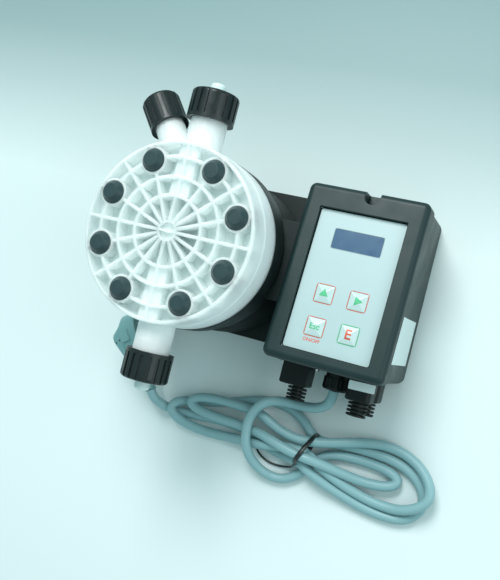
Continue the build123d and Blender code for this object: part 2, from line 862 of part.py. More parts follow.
# ==== control box ==================================================================================
bezel_back = panel.offset(-bezel_depth)
box_top = panel.offset(-bezel_depth - seal_thickness)
box_width = bezel_width - 2 * box_inset
box_height = bezel_height - 2 * box_inset
column_xy = [
    (panel_centre[0] + sx * column_place[0], panel_centre[1] + sy * column_place[1])
    for sx in (-1, 1)
    for sy in (-1, 1)
]
with BuildPart() as control_box:
    add(box_outline(box_width, box_height, box_corner, None, box_top))
    inner = box_outline(
        box_width - 2 * box_wall, box_height - 2 * box_wall, box_corner - box_wall, None, box_top
    )
    add(split(inner, bisect_by=Plane.XY.offset(box_wall), keep=Keep.TOP, mode=Mode.PRIVATE), mode=Mode.SUBTRACT)
    for x, y in column_xy:
        top = seam_height(y) - seal_thickness - 1
        seat = seam_height(y) + box_screw_grip - box_screw_length
        with BuildSketch(Plane.XY):
            with Locations((x, y)):
                Circle(column_radius)
        extrude(amount=top)
        with BuildSketch(Plane.XY):
            with Locations((x, y)):
                Circle(column_bore_radius)
        extrude(amount=seat, mode=Mode.SUBTRACT)
        with BuildSketch(Plane.XY):
            with Locations((x, y)):
                Circle(column_hole_radius)
        extrude(amount=top + 5, mode=Mode.SUBTRACT)
    with BuildSketch(Plane.YZ):
        with Locations(((bridge_low + bridge_high) / 2, wire_duct_height)):
            Circle(wire_duct_radius)
    extrude(amount=box_left + box_wall + 1, mode=Mode.SUBTRACT)
    lower_wall = Plane(origin=(0, wall_lower, 0), x_dir=(1, 0, 0), z_dir=(0, -1, 0))
    with BuildSketch(lower_wall):
        with Locations(gland_place, *signal_places.values(), alarm_place):
            Circle(relief_core_radius)
    extrude(amount=-box_wall - 1, mode=Mode.SUBTRACT)
    with BuildSketch(lower_wall):
        for side in (-1, 1):
            with Locations((alarm_place[0] + side * flange_screw_spacing / 2, alarm_place[1])):
                Circle(flange_screw_radius + running_gap)
    extrude(amount=alarm_flange - flange_screw_length - 1, mode=Mode.SUBTRACT)
    add(box_outline(box_width + 20, box_height + 20, box_corner, box_top, panel), mode=Mode.SUBTRACT)
save(control_box.part, "control_box")

with BuildPart() as box_seal:
    outer = box_outline(
        box_width - 2 * seal_inset, box_height - 2 * seal_inset, box_corner - seal_inset, box_top, bezel_back
    )
    add(outer)
    add(
        box_outline(
            box_width - 2 * box_wall, box_height - 2 * box_wall, box_corner - box_wall, box_top, bezel_back
        ),
        mode=Mode.SUBTRACT,
    )
save(box_seal.part, "box_seal")

plate_width = window_width + 2 * plate_margin
plate_height = window_height + 2 * plate_margin
with BuildPart() as front_bezel:
    add(box_outline(bezel_width, bezel_height, bezel_corner, bezel_back, panel))
    front_edges = front_bezel.faces().sort_by(Axis(panel.origin, panel.z_dir))[-1].edges()
    fillet(front_edges, bezel_fillet)
    with BuildPart(mode=Mode.PRIVATE) as hollow:
        add(
            box_outline(
                bezel_width - 2 * bezel_wall,
                bezel_height - 2 * bezel_wall,
                bezel_corner - bezel_wall,
                None,
                panel.offset(-bezel_lip),
            )
        )
        with BuildSketch(Plane.XY):
            with Locations(*column_xy):
                Circle(column_radius - 1)
            with Locations(panel_centre[:2]):
                with GridLocations(2 * board_boss_place[0], 2 * board_boss_place[1], 2, 2):
                    Circle(board_boss_radius)
        extrude(amount=panel_centre[2] * 1.5, mode=Mode.SUBTRACT)
        with BuildSketch(bezel_back):
            with Locations((notch_shift, bezel_height / 2 - notch_depth / 2)):
                Rectangle(notch_width + 2 * bezel_wall, notch_depth + 4 * bezel_wall)
        extrude(amount=bezel_depth, mode=Mode.SUBTRACT)
    add(hollow.part, mode=Mode.SUBTRACT)
    with BuildSketch(panel):
        with Locations((0, -window_drop)):
            Rectangle(window_width, window_height)
    extrude(amount=-bezel_depth, mode=Mode.SUBTRACT)
    with BuildSketch(panel.offset(-plate_recess)):
        with Locations((0, -window_drop)):
            Rectangle(plate_width + 2 * slip_gap, plate_height + 2 * slip_gap)
    extrude(amount=-bezel_depth, mode=Mode.SUBTRACT)
    with BuildSketch(panel):
        with Locations((notch_shift, bezel_height / 2)):
            SlotCenterPoint((0, 0), (0, -notch_depth + notch_width / 2), notch_width, rotation=0)
    extrude(amount=-(bezel_depth - notch_floor), mode=Mode.SUBTRACT)
    with BuildSketch(bezel_back):
        Rectangle(board_width + 2 * slip_gap, board_height + 2 * slip_gap)
    extrude(amount=bezel_depth - board_depth, mode=Mode.SUBTRACT)
    for x, y in column_xy:
        with BuildSketch(Plane.XY):
            with Locations((x, y)):
                Circle(box_screw_radius + running_gap)
        extrude(amount=seam_height(y) + box_screw_grip + 1, mode=Mode.SUBTRACT)
    with BuildSketch(bezel_back):
        with GridLocations(2 * board_boss_place[0], 2 * board_boss_place[1], 2, 2):
            Circle(board_screw_radius + running_gap)
    extrude(amount=bezel_depth - board_depth + board_screw_length, mode=Mode.SUBTRACT)
save(front_bezel.part, "front_bezel")

# ==== display, keys and board ======================================================================
with BuildPart() as key_plate:
    with BuildSketch(panel.offset(-plate_recess)):
        with Locations((0, -window_drop)):
            Rectangle(plate_width, plate_height)
        with Locations(*key_places.values()):
            Rectangle(key_size, key_size, mode=Mode.SUBTRACT)
        with Locations(display_place):
            Rectangle(display_width + 2 * slip_gap, display_height + 2 * slip_gap, mode=Mode.SUBTRACT)
    extrude(amount=plate_recess - bezel_lip)
save(key_plate.part, "key_plate")

with BuildPart() as display_window:
    with BuildSketch(panel.offset(-plate_recess)):
        with Locations(display_place):
            Rectangle(display_width, display_height)
    extrude(amount=plate_recess - bezel_lip)
save(display_window.part, "display_window")

with BuildPart() as display_module:
    with BuildSketch(panel.offset(-bezel_lip)):
        with Locations(display_place):
            Rectangle(display_width + 2 * display_margin, display_height + 2 * display_margin)
    extrude(amount=bezel_lip - board_depth)
save(display_module.part, "display_module")

for name, place in key_places.items():
    plate_back = panel.offset(-bezel_lip)
    rise_angle = degrees(atan2((key_size - 2 * key_gap - key_top_size) / 2, key_rise))
    with BuildPart() as key:
        with BuildSketch(plate_back.offset(-key_flange - slip_gap)):
            with Locations(place):
                Rectangle(key_size + 2 * key_flange_margin, key_size + 2 * key_flange_margin)
        extrude(amount=key_flange)
        with BuildSketch(plate_back.offset(-slip_gap)):
            with Locations(place):
                Rectangle(key_size - 2 * key_gap, key_size - 2 * key_gap)
        extrude(amount=bezel_lip - plate_recess + slip_gap)
        with BuildSketch(panel.offset(-plate_recess)):
            with Locations(place):
                Rectangle(key_size - 2 * key_gap, key_size - 2 * key_gap)
        extrude(amount=key_rise, taper=rise_angle)
        with BuildSketch(plate_back.offset(-key_flange - slip_gap)):
            with Locations(place):
                Circle(key_stem_radius)
        stem_length = board_depth - switch_height - bezel_lip - key_flange - slip_gap - key_travel - slip_gap
        extrude(amount=-stem_length)
    save(key.part, name)

with BuildPart() as key_switches:
    with BuildSketch(panel.offset(-board_depth)):
        with Locations(*key_places.values()):
            Rectangle(switch_size, switch_size)
    extrude(amount=switch_height)
save(key_switches.part, "key_switches")

with BuildPart() as circuit_board:
    with BuildSketch(panel.offset(-board_depth - board_thickness)):
        Rectangle(board_width, board_height)
        with GridLocations(2 * board_boss_place[0], 2 * board_boss_place[1], 2, 2):
            Circle(board_screw_radius + slip_gap, mode=Mode.SUBTRACT)
    extrude(amount=board_thickness)
save(circuit_board.part, "circuit_board")

with BuildPart() as board_screws:
    with BuildSketch(panel.offset(-board_depth - board_thickness)):
        with GridLocations(2 * board_boss_place[0], 2 * board_boss_place[1], 2, 2):
            Circle(board_screw_head_radius)
    extrude(amount=-board_screw_head)
    with BuildSketch(panel.offset(-board_depth - board_thickness)):
        with GridLocations(2 * board_boss_place[0], 2 * board_boss_place[1], 2, 2):
            Circle(board_screw_radius)
    extrude(amount=board_screw_length)
save(board_screws.part, "board_screws")

with BuildPart() as box_screws:
    for x, y in column_xy:
        seat = seam_height(y) + box_screw_grip - box_screw_length
        with BuildSketch(Plane.XY.offset(seat)):
            with Locations((x, y)):
                Circle(box_screw_radius)
        extrude(amount=box_screw_length)
        with BuildSketch(Plane.XY.offset(seat)):
            with Locations((x, y)):
                Circle(box_screw_head_radius)
        extrude(amount=-box_screw_head)
save(box_screws.part, "box_screws")


# ==== connectors on the lower wall =================================================================
def relief(start):
    """A spiral strain relief: a slim core carrying round turns, standing on the lower wall."""
    with BuildPart() as piece:
        add(tube(lower_wall_at, start, relief_turns * relief_pitch, relief_core_radius))
        for turn in range(relief_turns):
            low = start + (turn + 1) * relief_pitch - relief_turn_width
            add(tube(lower_wall_at, low, relief_turn_width, relief_radius))
    return piece.part


for name, place in signal_places.items():
    lower_wall_at = Plane(origin=(place[0], wall_lower, place[1]), x_dir=(1, 0, 0), z_dir=(0, -1, 0))
    with BuildPart() as connector:
        with BuildSketch(lower_wall_at):
            RectangleRounded(signal_width, signal_depth, signal_corner)
        extrude(amount=signal_length)
        fillet(connector.faces().sort_by(Axis.Y)[0].edges(), 1.5)
        add(relief(signal_length))
    save(connector.part, name)

lower_wall_at = Plane(
    origin=(alarm_place[0] + alarm_offset, wall_lower, alarm_place[1]), x_dir=(1, 0, 0), z_dir=(0, -1, 0)
)
flange_wall = Plane(origin=(alarm_place[0], wall_lower, alarm_place[1]), x_dir=(1, 0, 0), z_dir=(0, -1, 0))
with BuildPart() as alarm_connector:
    with BuildSketch(flange_wall):
        RectangleRounded(alarm_flange_width, alarm_depth, 2)
    extrude(amount=alarm_flange)
    with BuildSketch(flange_wall.offset(alarm_flange)):
        Rectangle(alarm_width, alarm_depth - 2)
    extrude(amount=alarm_length)
    fillet(alarm_connector.faces().sort_by(Axis.Y)[0].edges(), 1.5)
    add(relief(alarm_flange + alarm_length))
    with BuildSketch(flange_wall):
        with GridLocations(flange_screw_spacing, 0, 2, 1):
            Circle(flange_screw_radius + slip_gap)
    extrude(amount=alarm_flange, mode=Mode.SUBTRACT)
save(alarm_connector.part, "alarm_connector")

with BuildPart() as connector_screws:
    with BuildSketch(flange_wall.offset(alarm_flange)):
        with GridLocations(flange_screw_spacing, 0, 2, 1):
            Circle(flange_screw_head_radius)
    extrude(amount=flange_screw_head)
    with BuildSketch(flange_wall.offset(alarm_flange)):
        with GridLocations(flange_screw_spacing, 0, 2, 1):
            Circle(flange_screw_radius)
    extrude(amount=-flange_screw_length)
save(connector_screws.part, "connector_screws")

gland_wall = Plane(origin=(gland_place[0], wall_lower, gland_place[1]), x_dir=(1, 0, 0), z_dir=(0, -1, 0))
lead_radius = lead_diameter / 2
save(tube(gland_wall, 0, gland_body_length, gland_body_radius, lead_radius), "gland_body")
with BuildPart() as gland_nut:
    add(tube(gland_wall, gland_body_length, gland_nut_length, gland_nut_radius))
    fillet(gland_nut.faces().sort_by(Axis.Y)[0].edges(), 2)
    with BuildSketch(gland_wall.offset(gland_body_length)):
        with PolarLocations(gland_nut_radius + 0.4, gland_flutes):
            Circle(1.2)
    extrude(amount=gland_nut_length - 2.5, mode=Mode.SUBTRACT)
    add(tube(gland_wall, 0, gland_body_length + gland_nut_length, lead_radius), mode=Mode.SUBTRACT)
save(gland_nut.part, "gland_nut")


# ==== supply lead ==================================================================================
def lead_tube(name, route):
    """The lead along straight runs joined by tangent arcs, each as large as its two runs allow."""
    points = [Vector(*point) for point in route]
    runs = [after - before for before, after in zip(points, points[1:])]
    turns = [before.get_angle(after) for before, after in zip(runs, runs[1:])]
    radii = [
        0.45 * min(before.length, after.length) / tan(radians(turn / 2))
        for before, after, turn in zip(runs, runs[1:], turns)
    ]
    with BuildPart() as piece:
        with BuildLine() as line:
            FilletPolyline(*points, radius=radii)
        with BuildSketch(Plane(origin=points[0], z_dir=runs[0])):
            Circle(lead_radius)
        sweep(path=line.wire())
    print(name, "runs", [round(run.length, 1) for run in runs], "turns", [round(turn) for turn in turns])
    print(name, "radii", [round(radius, 1) for radius in radii], "length", round(line.wire().length, 1))
    print(name, "volume ratio", round(piece.part.volume / (line.wire().length * 3.14159265 * lead_radius**2), 4))
    save(piece.part, name)


lead_tube("lead_at_gland", lead_route)
lead_tube("lead_at_plug", plug_lead_route)

with BuildPart() as lead_hank:
    for ends in (hank_right_ends, hank_left_ends):
        with BuildSketch(Plane.XY.offset(hank_bottom)):
            for x, y, radius in ends:
                with Locations((x, y)):
                    Circle(radius)
            make_hull()
        extrude(amount=hank_top - hank_bottom)
    fillet(lead_hank.faces().sort_by(Axis.Z)[-1].edges(), 3)
save(lead_hank.part, "lead_hank")

waist_x, waist_y, waist_radius = hank_right_ends[0]
tie_plane = Plane(
    origin=(waist_x, waist_y, (hank_bottom + hank_top) / 2),
    x_dir=(cos(radians(tie_turn)), sin(radians(tie_turn)), 0),
    z_dir=(sin(radians(tie_turn)), -cos(radians(tie_turn)), 0),
)
with BuildPart() as twist_tie:
    with BuildSketch(tie_plane.offset(-tie_width / 2)):
        tie_inside_width = 2 * (waist_radius + tie_slack)
        tie_inside_height = hank_top - hank_bottom + 2 * slip_gap
        RectangleRounded(
            tie_inside_width + 2 * tie_thickness,
            tie_inside_height + 2 * tie_thickness,
            tie_corner + tie_thickness,
        )
        RectangleRounded(tie_inside_width, tie_inside_height, tie_corner, mode=Mode.SUBTRACT)
    extrude(amount=tie_width)
save(twist_tie.part, "twist_tie")

# ==== mains plug ===================================================================================
cable_way = Vector(cos(radians(plug_turn)), sin(radians(plug_turn)), 0)
pin_way = Vector(-sin(radians(plug_turn)), cos(radians(plug_turn)), 0)
plug_plane = Plane(origin=(*plug_centre, plug_radius + 0.1), x_dir=cable_way, z_dir=pin_way)
with BuildPart() as plug_body:
    with BuildSketch(plug_plane.offset(-plug_back)):
        Circle(plug_radius)
    extrude(amount=plug_back + plug_front)
    chamfer(plug_body.faces().sort_by(Axis(plug_plane.origin, pin_way))[0].edges(), 4)
    with BuildSketch(plug_plane.offset(-plug_neck_radius)):
        with Locations((0, 0)):
            Circle(plug_radius - 5)
        with Locations((plug_reach - plug_relief_length - 4, 0)):
            Circle(plug_neck_radius)
        make_hull()
    extrude(amount=2 * plug_neck_radius)
    relief_plane = Plane(origin=plug_plane.origin, z_dir=cable_way)
    with BuildSketch(relief_plane):
        Circle(plug_relief_radius)
    extrude(amount=plug_reach)
    with BuildSketch(plug_plane.offset(plug_front)):
        with Locations((plug_radius, 0), (-plug_radius, 0)):
            Rectangle(2 * earth_clip_thickness, earth_clip_width)
    extrude(amount=-earth_clip_length, mode=Mode.SUBTRACT)
save(plug_body.part, "plug_body")

with BuildPart() as plug_pins:
    with BuildSketch(plug_plane.offset(plug_front)):
        with GridLocations(0, pin_spacing, 1, 2):
            Circle(pin_radius)
    extrude(amount=pin_length)
    fillet(plug_pins.edges().filter_by(GeomType.CIRCLE).group_by(Axis(plug_plane.origin, pin_way))[-1], 1.6)
save(plug_pins.part, "plug_pins")

with BuildPart() as earth_clips:
    with BuildSketch(plug_plane.offset(plug_front)):
        with Locations(
            (plug_radius - earth_clip_thickness / 2, 0), (-plug_radius + earth_clip_thickness / 2, 0)
        ):
            Rectangle(earth_clip_thickness, earth_clip_width)
    extrude(amount=-earth_clip_length)
save(earth_clips.part, "earth_clips")
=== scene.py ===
"""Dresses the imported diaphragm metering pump: finishes, lead, plug, keypad, stickers and studio."""

import logging
from dataclasses import dataclass, field
from enum import Enum
from math import cos, pi, radians, sin

import bmesh
import bpy
from mathutils import Matrix, Vector


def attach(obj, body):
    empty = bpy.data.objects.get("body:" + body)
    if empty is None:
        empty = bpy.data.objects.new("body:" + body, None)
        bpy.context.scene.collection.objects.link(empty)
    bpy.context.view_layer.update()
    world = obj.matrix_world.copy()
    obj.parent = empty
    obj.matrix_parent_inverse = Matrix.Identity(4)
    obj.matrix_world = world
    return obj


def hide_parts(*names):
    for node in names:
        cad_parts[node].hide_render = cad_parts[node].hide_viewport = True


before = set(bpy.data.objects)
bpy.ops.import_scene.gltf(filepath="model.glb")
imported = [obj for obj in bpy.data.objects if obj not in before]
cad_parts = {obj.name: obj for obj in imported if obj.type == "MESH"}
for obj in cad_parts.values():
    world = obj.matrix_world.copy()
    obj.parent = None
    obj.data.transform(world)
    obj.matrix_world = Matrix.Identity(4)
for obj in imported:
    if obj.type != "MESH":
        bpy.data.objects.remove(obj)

Colour = tuple[float, float, float]
Point = tuple[float, float, float]
Pair = tuple[float, float]

MM = 0.001
NOISE_SPREAD = (0.3, 0.7)
LEAST_ROUGHNESS = 0.02
CLOUD_DETAIL = 3.0
GRAIN_DETAIL = 2.0
EDGE_SAMPLES = 4
LOG = logging.getLogger("metering_pump")


class Body(Enum):
    """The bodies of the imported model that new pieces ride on."""

    PUMP = "pump"
    KEY_UP = "key_up"
    KEY_RIGHT = "key_right"
    KEY_ESCAPE = "key_escape"
    KEY_ENTER = "key_enter"


@dataclass(frozen=True)
class Finish:
    """One surface finish, made as a node material that reads Object coordinates.

    Args:
        name: the finish in a maker's words.
        colour: linear base colour.
        shade: second linear colour that the first is mottled with.
        roughness: mean roughness.
        roughness_swing: how far the roughness wanders each way.
        metallic: 0 for plastics, 1 for metals.
        grain_size: size of the surface grain in millimetres.
        grain_height: height of the grain in millimetres.
        cloud_size: size of the colour mottling in millimetres.
        edge: radius in millimetres that edges are softened to.
        coat: weight of a clear coat.
        transmission: how much light passes through.
        subsurface: how much light wanders under the surface.
        depth: how far that light wanders, in millimetres.
        specular: specular level.
        brushed: stretch of the grain along Z, 1 for none.
    """

    name: str
    colour: Colour
    shade: Colour
    roughness: float
    roughness_swing: float = 0.05
    metallic: float = 0.0
    grain_size: float = 0.6
    grain_height: float = 0.01
    cloud_size: float = 30.0
    edge: float = 0.35
    coat: float = 0.0
    transmission: float = 0.0
    subsurface: float = 0.0
    depth: float = 4.0
    specular: float = 0.5
    brushed: float = 1.0

    def material(self) -> bpy.types.Material:
        """Build the node material.

        Returns:
            The material, ready for a slot.
        """
        made = bpy.data.materials.new(self.name)
        made.use_nodes = True
        tree = made.node_tree
        shader = tree.nodes["Principled BSDF"]
        shader.inputs["Metallic"].default_value = self.metallic
        shader.inputs["Coat Weight"].default_value = self.coat
        shader.inputs["Transmission Weight"].default_value = self.transmission
        shader.inputs["Subsurface Weight"].default_value = self.subsurface
        shader.inputs["Subsurface Scale"].default_value = self.depth * MM
        shader.inputs["Subsurface Radius"].default_value = (1.0, 1.0, 1.0)
        shader.inputs["Specular IOR Level"].default_value = self.specular
        place = tree.nodes.new("ShaderNodeTexCoord")
        clouds = self._noise(tree, place, self.cloud_size, CLOUD_DETAIL)
        blend = tree.nodes.new("ShaderNodeMix")
        blend.data_type = "RGBA"
        blend.inputs["A"].default_value = (*self.colour, 1)
        blend.inputs["B"].default_value = (*self.shade, 1)
        tree.links.new(clouds.outputs["Fac"], blend.inputs["Factor"])
        tree.links.new(blend.outputs["Result"], shader.inputs["Base Color"])
        self._roughness(tree, clouds, shader)
        self._relief(tree, place, shader)
        return made

    def _noise(
        self, tree: bpy.types.NodeTree, place: bpy.types.Node, size: float, detail: float
    ) -> bpy.types.Node:
        """Add a noise whose lumps are size millimetres across, stretched along Z when brushed.

        Args:
            tree: the material's nodes.
            place: the texture coordinates.
            size: size of a lump in millimetres.
            detail: octaves of finer lumps.

        Returns:
            The noise node.
        """
        stretch = tree.nodes.new("ShaderNodeMapping")
        stretch.inputs["Scale"].default_value = (1, 1, 1 / self.brushed)
        noise = tree.nodes.new("ShaderNodeTexNoise")
        noise.inputs["Scale"].default_value = 1 / (size * MM)
        noise.inputs["Detail"].default_value = detail
        tree.links.new(place.outputs["Object"], stretch.inputs["Vector"])
        tree.links.new(stretch.outputs["Vector"], noise.inputs["Vector"])
        return noise

    def _roughness(
        self, tree: bpy.types.NodeTree, clouds: bpy.types.Node, shader: bpy.types.Node
    ) -> None:
        """Let the roughness wander with the mottling.

        Args:
            tree: the material's nodes.
            clouds: the noise of the mottling.
            shader: the shader to be fed.
        """
        low, high = NOISE_SPREAD
        least = max(LEAST_ROUGHNESS, self.roughness - self.roughness_swing)
        swing = tree.nodes.new("ShaderNodeMapRange")
        swing.inputs["From Min"].default_value = low
        swing.inputs["From Max"].default_value = high
        swing.inputs["To Min"].default_value = least
        swing.inputs["To Max"].default_value = self.roughness + self.roughness_swing
        tree.links.new(clouds.outputs["Fac"], swing.inputs["Value"])
        tree.links.new(swing.outputs["Result"], shader.inputs["Roughness"])

    def _relief(
        self, tree: bpy.types.NodeTree, place: bpy.types.Node, shader: bpy.types.Node
    ) -> None:
        """Add the surface grain over softened edges.

        Args:
            tree: the material's nodes.
            place: the texture coordinates.
            shader: the shader to be fed.
        """
        grain = self._noise(tree, place, self.grain_size, GRAIN_DETAIL)
        bump = tree.nodes.new("ShaderNodeBump")
        bump.inputs["Strength"].default_value = 1.0
        bump.inputs["Distance"].default_value = self.grain_height * MM
        tree.links.new(grain.outputs["Fac"], bump.inputs["Height"])
        if self.edge > 0:
            soft = tree.nodes.new("ShaderNodeBevel")
            soft.samples = EDGE_SAMPLES
            soft.inputs["Radius"].default_value = self.edge * MM
            tree.links.new(soft.outputs["Normal"], bump.inputs["Normal"])
        tree.links.new(bump.outputs["Normal"], shader.inputs["Normal"])


class Finishes:
    """Every finish on the pump, and the nodes that each one covers."""

    housing = Finish(
        "grained_black_housing", (0.006, 0.0115, 0.0115), (0.01, 0.017, 0.017), 0.5, 0.07,
        grain_size=0.5, grain_height=0.03, cloud_size=12, edge=0.4, specular=0.35,
    )
    box = Finish(
        "grained_charcoal_box", (0.008, 0.023, 0.024), (0.012, 0.03, 0.031), 0.44, 0.06,
        grain_size=0.45, grain_height=0.03, cloud_size=18, edge=0.6, specular=0.35,
    )
    # Black plastic connectors, their colour set darker than the housing's: partly their own black,
    # partly painted shade for the shadow they sit in under the box.
    connector = Finish(
        "black_connector_painted_shade", (0.003, 0.0062, 0.0062), (0.005, 0.009, 0.009), 0.42, 0.06,
        grain_size=0.4, grain_height=0.015, cloud_size=6, edge=0.3, specular=0.25,
    )
    head = Finish(
        "milky_white_head", (0.87, 0.965, 0.945), (0.89, 0.975, 0.96), 0.42, 0.05,
        grain_size=0.9, grain_height=0.01, cloud_size=22, edge=0.6, subsurface=1.0, depth=15.0,
        specular=0.3,
    )
    valve = Finish(
        "milky_white_valve", (0.66, 0.8, 0.79), (0.72, 0.85, 0.84), 0.34, 0.05,
        grain_size=0.8, grain_height=0.008, cloud_size=14, edge=0.4, subsurface=0.35, depth=6.0,
    )
    cap = Finish(
        "slate_cap", (0.017, 0.04, 0.044), (0.024, 0.05, 0.054), 0.4, 0.06,
        grain_size=0.4, grain_height=0.015, cloud_size=5, edge=0.5,
    )
    nut = Finish(
        "charcoal_nut", (0.005, 0.01, 0.0105), (0.009, 0.015, 0.0155), 0.32, 0.06,
        grain_size=0.4, grain_height=0.02, cloud_size=7, edge=0.35, specular=0.45,
    )
    plate = Finish(
        "printed_film", (0.41, 0.52, 0.53), (0.45, 0.56, 0.57), 0.38, 0.04,
        grain_size=0.25, grain_height=0.006, cloud_size=40, edge=0.0,
    )
    display = Finish(
        "display_cover", (0.03, 0.085, 0.17), (0.05, 0.12, 0.21), 0.24, 0.04,
        grain_size=3.0, grain_height=0.002, cloud_size=9, edge=0.0, specular=0.3,
    )
    key = Finish(
        "pearl_key", (0.5, 0.63, 0.62), (0.56, 0.68, 0.67), 0.2, 0.04,
        grain_size=0.7, grain_height=0.004, cloud_size=8, edge=0.2, coat=0.4,
    )
    lead = Finish(
        "grey_lead_sheath", (0.24, 0.42, 0.445), (0.27, 0.455, 0.48), 0.4, 0.06,
        grain_size=1.2, grain_height=0.02, cloud_size=16, edge=0.0,
    )
    plug = Finish(
        "grey_plug_moulding", (0.165, 0.34, 0.345), (0.19, 0.37, 0.375), 0.42, 0.05,
        grain_size=0.7, grain_height=0.02, cloud_size=9, edge=0.4,
    )
    tie = Finish(
        "black_tie_film", (0.006, 0.011, 0.012), (0.012, 0.018, 0.019), 0.28, 0.06,
        grain_size=0.8, grain_height=0.02, cloud_size=4, edge=0.1,
    )
    sticker = Finish(
        "white_sticker", (0.7, 0.81, 0.8), (0.74, 0.85, 0.84), 0.34, 0.04,
        grain_size=0.5, grain_height=0.004, cloud_size=10, edge=0.0,
    )
    # Near-black painted shade: it stands in for the shadow that the recess wall casts round the
    # film's rim and for the shade inside the plug's two mould holes.
    painted_shade = Finish(
        "painted_shade_black", (0.002, 0.004, 0.004), (0.004, 0.006, 0.006), 0.7, edge=0.0, specular=0.1,
    )
    grey_ink = Finish("grey_ink", (0.2, 0.27, 0.28), (0.25, 0.32, 0.33), 0.5, edge=0.0)
    red_ink = Finish("orange_red_ink", (0.62, 0.09, 0.05), (0.7, 0.12, 0.065), 0.4, edge=0.0)
    green_ink = Finish("green_ink", (0.06, 0.44, 0.19), (0.09, 0.5, 0.24), 0.4, edge=0.0)
    steel = Finish(
        "machined_steel", (0.5, 0.51, 0.52), (0.58, 0.59, 0.6), 0.28, 0.08, metallic=1.0,
        grain_size=0.2, grain_height=0.006, cloud_size=4, edge=0.2, brushed=6,
    )
    nickel = Finish(
        "nickel_plate", (0.62, 0.6, 0.55), (0.7, 0.68, 0.63), 0.2, 0.05, metallic=1.0,
        grain_size=0.4, grain_height=0.003, cloud_size=5, edge=0.2,
    )
    aluminium = Finish(
        "turned_aluminium", (0.66, 0.67, 0.68), (0.74, 0.75, 0.76), 0.3, 0.06, metallic=1.0,
        grain_size=0.3, grain_height=0.006, cloud_size=6, edge=0.3,
    )
    bronze = Finish(
        "sintered_bronze", (0.42, 0.27, 0.11), (0.5, 0.33, 0.15), 0.42, 0.08, metallic=1.0,
        grain_size=0.3, grain_height=0.03, cloud_size=2, edge=0.2,
    )
    copper = Finish(
        "enamelled_winding", (0.42, 0.15, 0.06), (0.55, 0.22, 0.09), 0.3, 0.08, metallic=0.8,
        grain_size=0.5, grain_height=0.08, cloud_size=3, edge=0.0, brushed=0.15, coat=0.4,
    )
    ptfe = Finish(
        "smooth_ptfe", (0.78, 0.8, 0.78), (0.84, 0.86, 0.84), 0.45, 0.04,
        grain_size=1.0, grain_height=0.006, cloud_size=20, edge=0.3,
    )
    rubber = Finish(
        "black_rubber", (0.01, 0.01, 0.01), (0.017, 0.017, 0.017), 0.62, 0.06,
        grain_size=0.4, grain_height=0.02, cloud_size=6, edge=0.3,
    )
    ball = Finish(
        "polished_ball", (0.8, 0.9, 0.9), (0.86, 0.94, 0.94), 0.05, 0.02,
        grain_size=3.0, grain_height=0.001, cloud_size=5, edge=0.0, transmission=0.8,
    )
    board = Finish(
        "lacquered_board", (0.01, 0.1, 0.04), (0.016, 0.14, 0.06), 0.34, 0.06,
        grain_size=0.5, grain_height=0.03, cloud_size=3, edge=0.1, coat=0.3,
    )

    covers: dict[str, tuple[str, ...]] = {
        "housing": ("motor_housing", "flange_ring", "coil_bobbin", "key_switches"),
        "box": ("control_box", "front_bezel"),
        "connector": (
            "level_connector", "remote_connector", "alarm_connector", "gland_body", "gland_nut",
        ),
        "head": ("pump_head",),
        "valve": (
            "discharge_valve_seat", "discharge_valve_cage", "discharge_hose_tail",
            "suction_valve_seat", "suction_valve_cage", "suction_hose_tail", "vent_spindle",
        ),
        "cap": ("screw_caps",),
        "nut": ("discharge_union_nut", "suction_union_nut", "vent_nut"),
        "plate": ("key_plate",),
        "display": ("display_window",),
        "steel": (
            "magnet_yoke", "front_pole", "armature", "push_rod", "return_spring", "head_screws",
            "ring_screws", "board_screws", "box_screws", "connector_screws", "display_module",
        ),
        "nickel": ("plug_pins", "earth_clips"),
        "aluminium": ("diaphragm_carrier",),
        "bronze": ("guide_bush",),
        "copper": ("coil_winding",),
        "ptfe": ("diaphragm",),
        "rubber": ("discharge_seal", "suction_seal", "box_seal"),
        "ball": ("discharge_ball", "suction_ball"),
        "board": ("circuit_board",),
    }

    def __init__(self) -> None:
        """Start with no material made."""
        self._made: dict[str, bpy.types.Material] = {}

    def of(self, finish: Finish) -> bpy.types.Material:
        """The material of a finish, made once.

        Args:
            finish: the wanted finish.

        Returns:
            Its material.
        """
        if finish.name not in self._made:
            self._made[finish.name] = finish.material()
        return self._made[finish.name]

    def cover_nodes(self) -> None:
        """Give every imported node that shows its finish."""
        for name, nodes in self.covers.items():
            for node in nodes:
                dress(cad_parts[node], self.of(getattr(self, name)))
                LOG.info("node %s finished as %s", node, name)


def dress(piece: bpy.types.Object, material: bpy.types.Material) -> None:
    """Make a material the only one on a piece.

    Args:
        piece: a mesh or curve object.
        material: its new material.
    """
    piece.data.materials.clear()
    piece.data.materials.append(material)


def link(name: str, data: bpy.types.ID) -> bpy.types.Object:
    """Put a mesh or curve into the scene under a name.

    Args:
        name: the piece's name.
        data: its mesh or curve.

    Returns:
        The new object, at the origin.
    """
    piece = bpy.data.objects.new(name, data)
    bpy.context.scene.collection.objects.link(piece)
    return piece


def mesh_piece(name: str, shape: bmesh.types.BMesh, smooth: bool = False) -> bpy.types.Object:
    """Turn a bmesh into a named object.

    Args:
        name: the piece's name.
        shape: the finished bmesh, which is freed.
        smooth: whether its faces are shaded smooth.

    Returns:
        The new object.
    """
    bmesh.ops.recalc_face_normals(shape, faces=shape.faces)
    for face in shape.faces:
        face.smooth = smooth
    mesh = bpy.data.meshes.new(name)
    shape.to_mesh(mesh)
    shape.free()
    return link(name, mesh)


def as_mesh(piece: bpy.types.Object) -> bpy.types.Object:
    """Replace a text or flat curve by its mesh under the same name.

    Args:
        piece: the text or curve object.

    Returns:
        The mesh object that takes its place.
    """
    bpy.context.view_layer.update()
    name = piece.name
    evaluated = piece.evaluated_get(bpy.context.evaluated_depsgraph_get())
    mesh = bpy.data.meshes.new_from_object(evaluated)
    bpy.data.objects.remove(piece)
    return link(name, mesh)


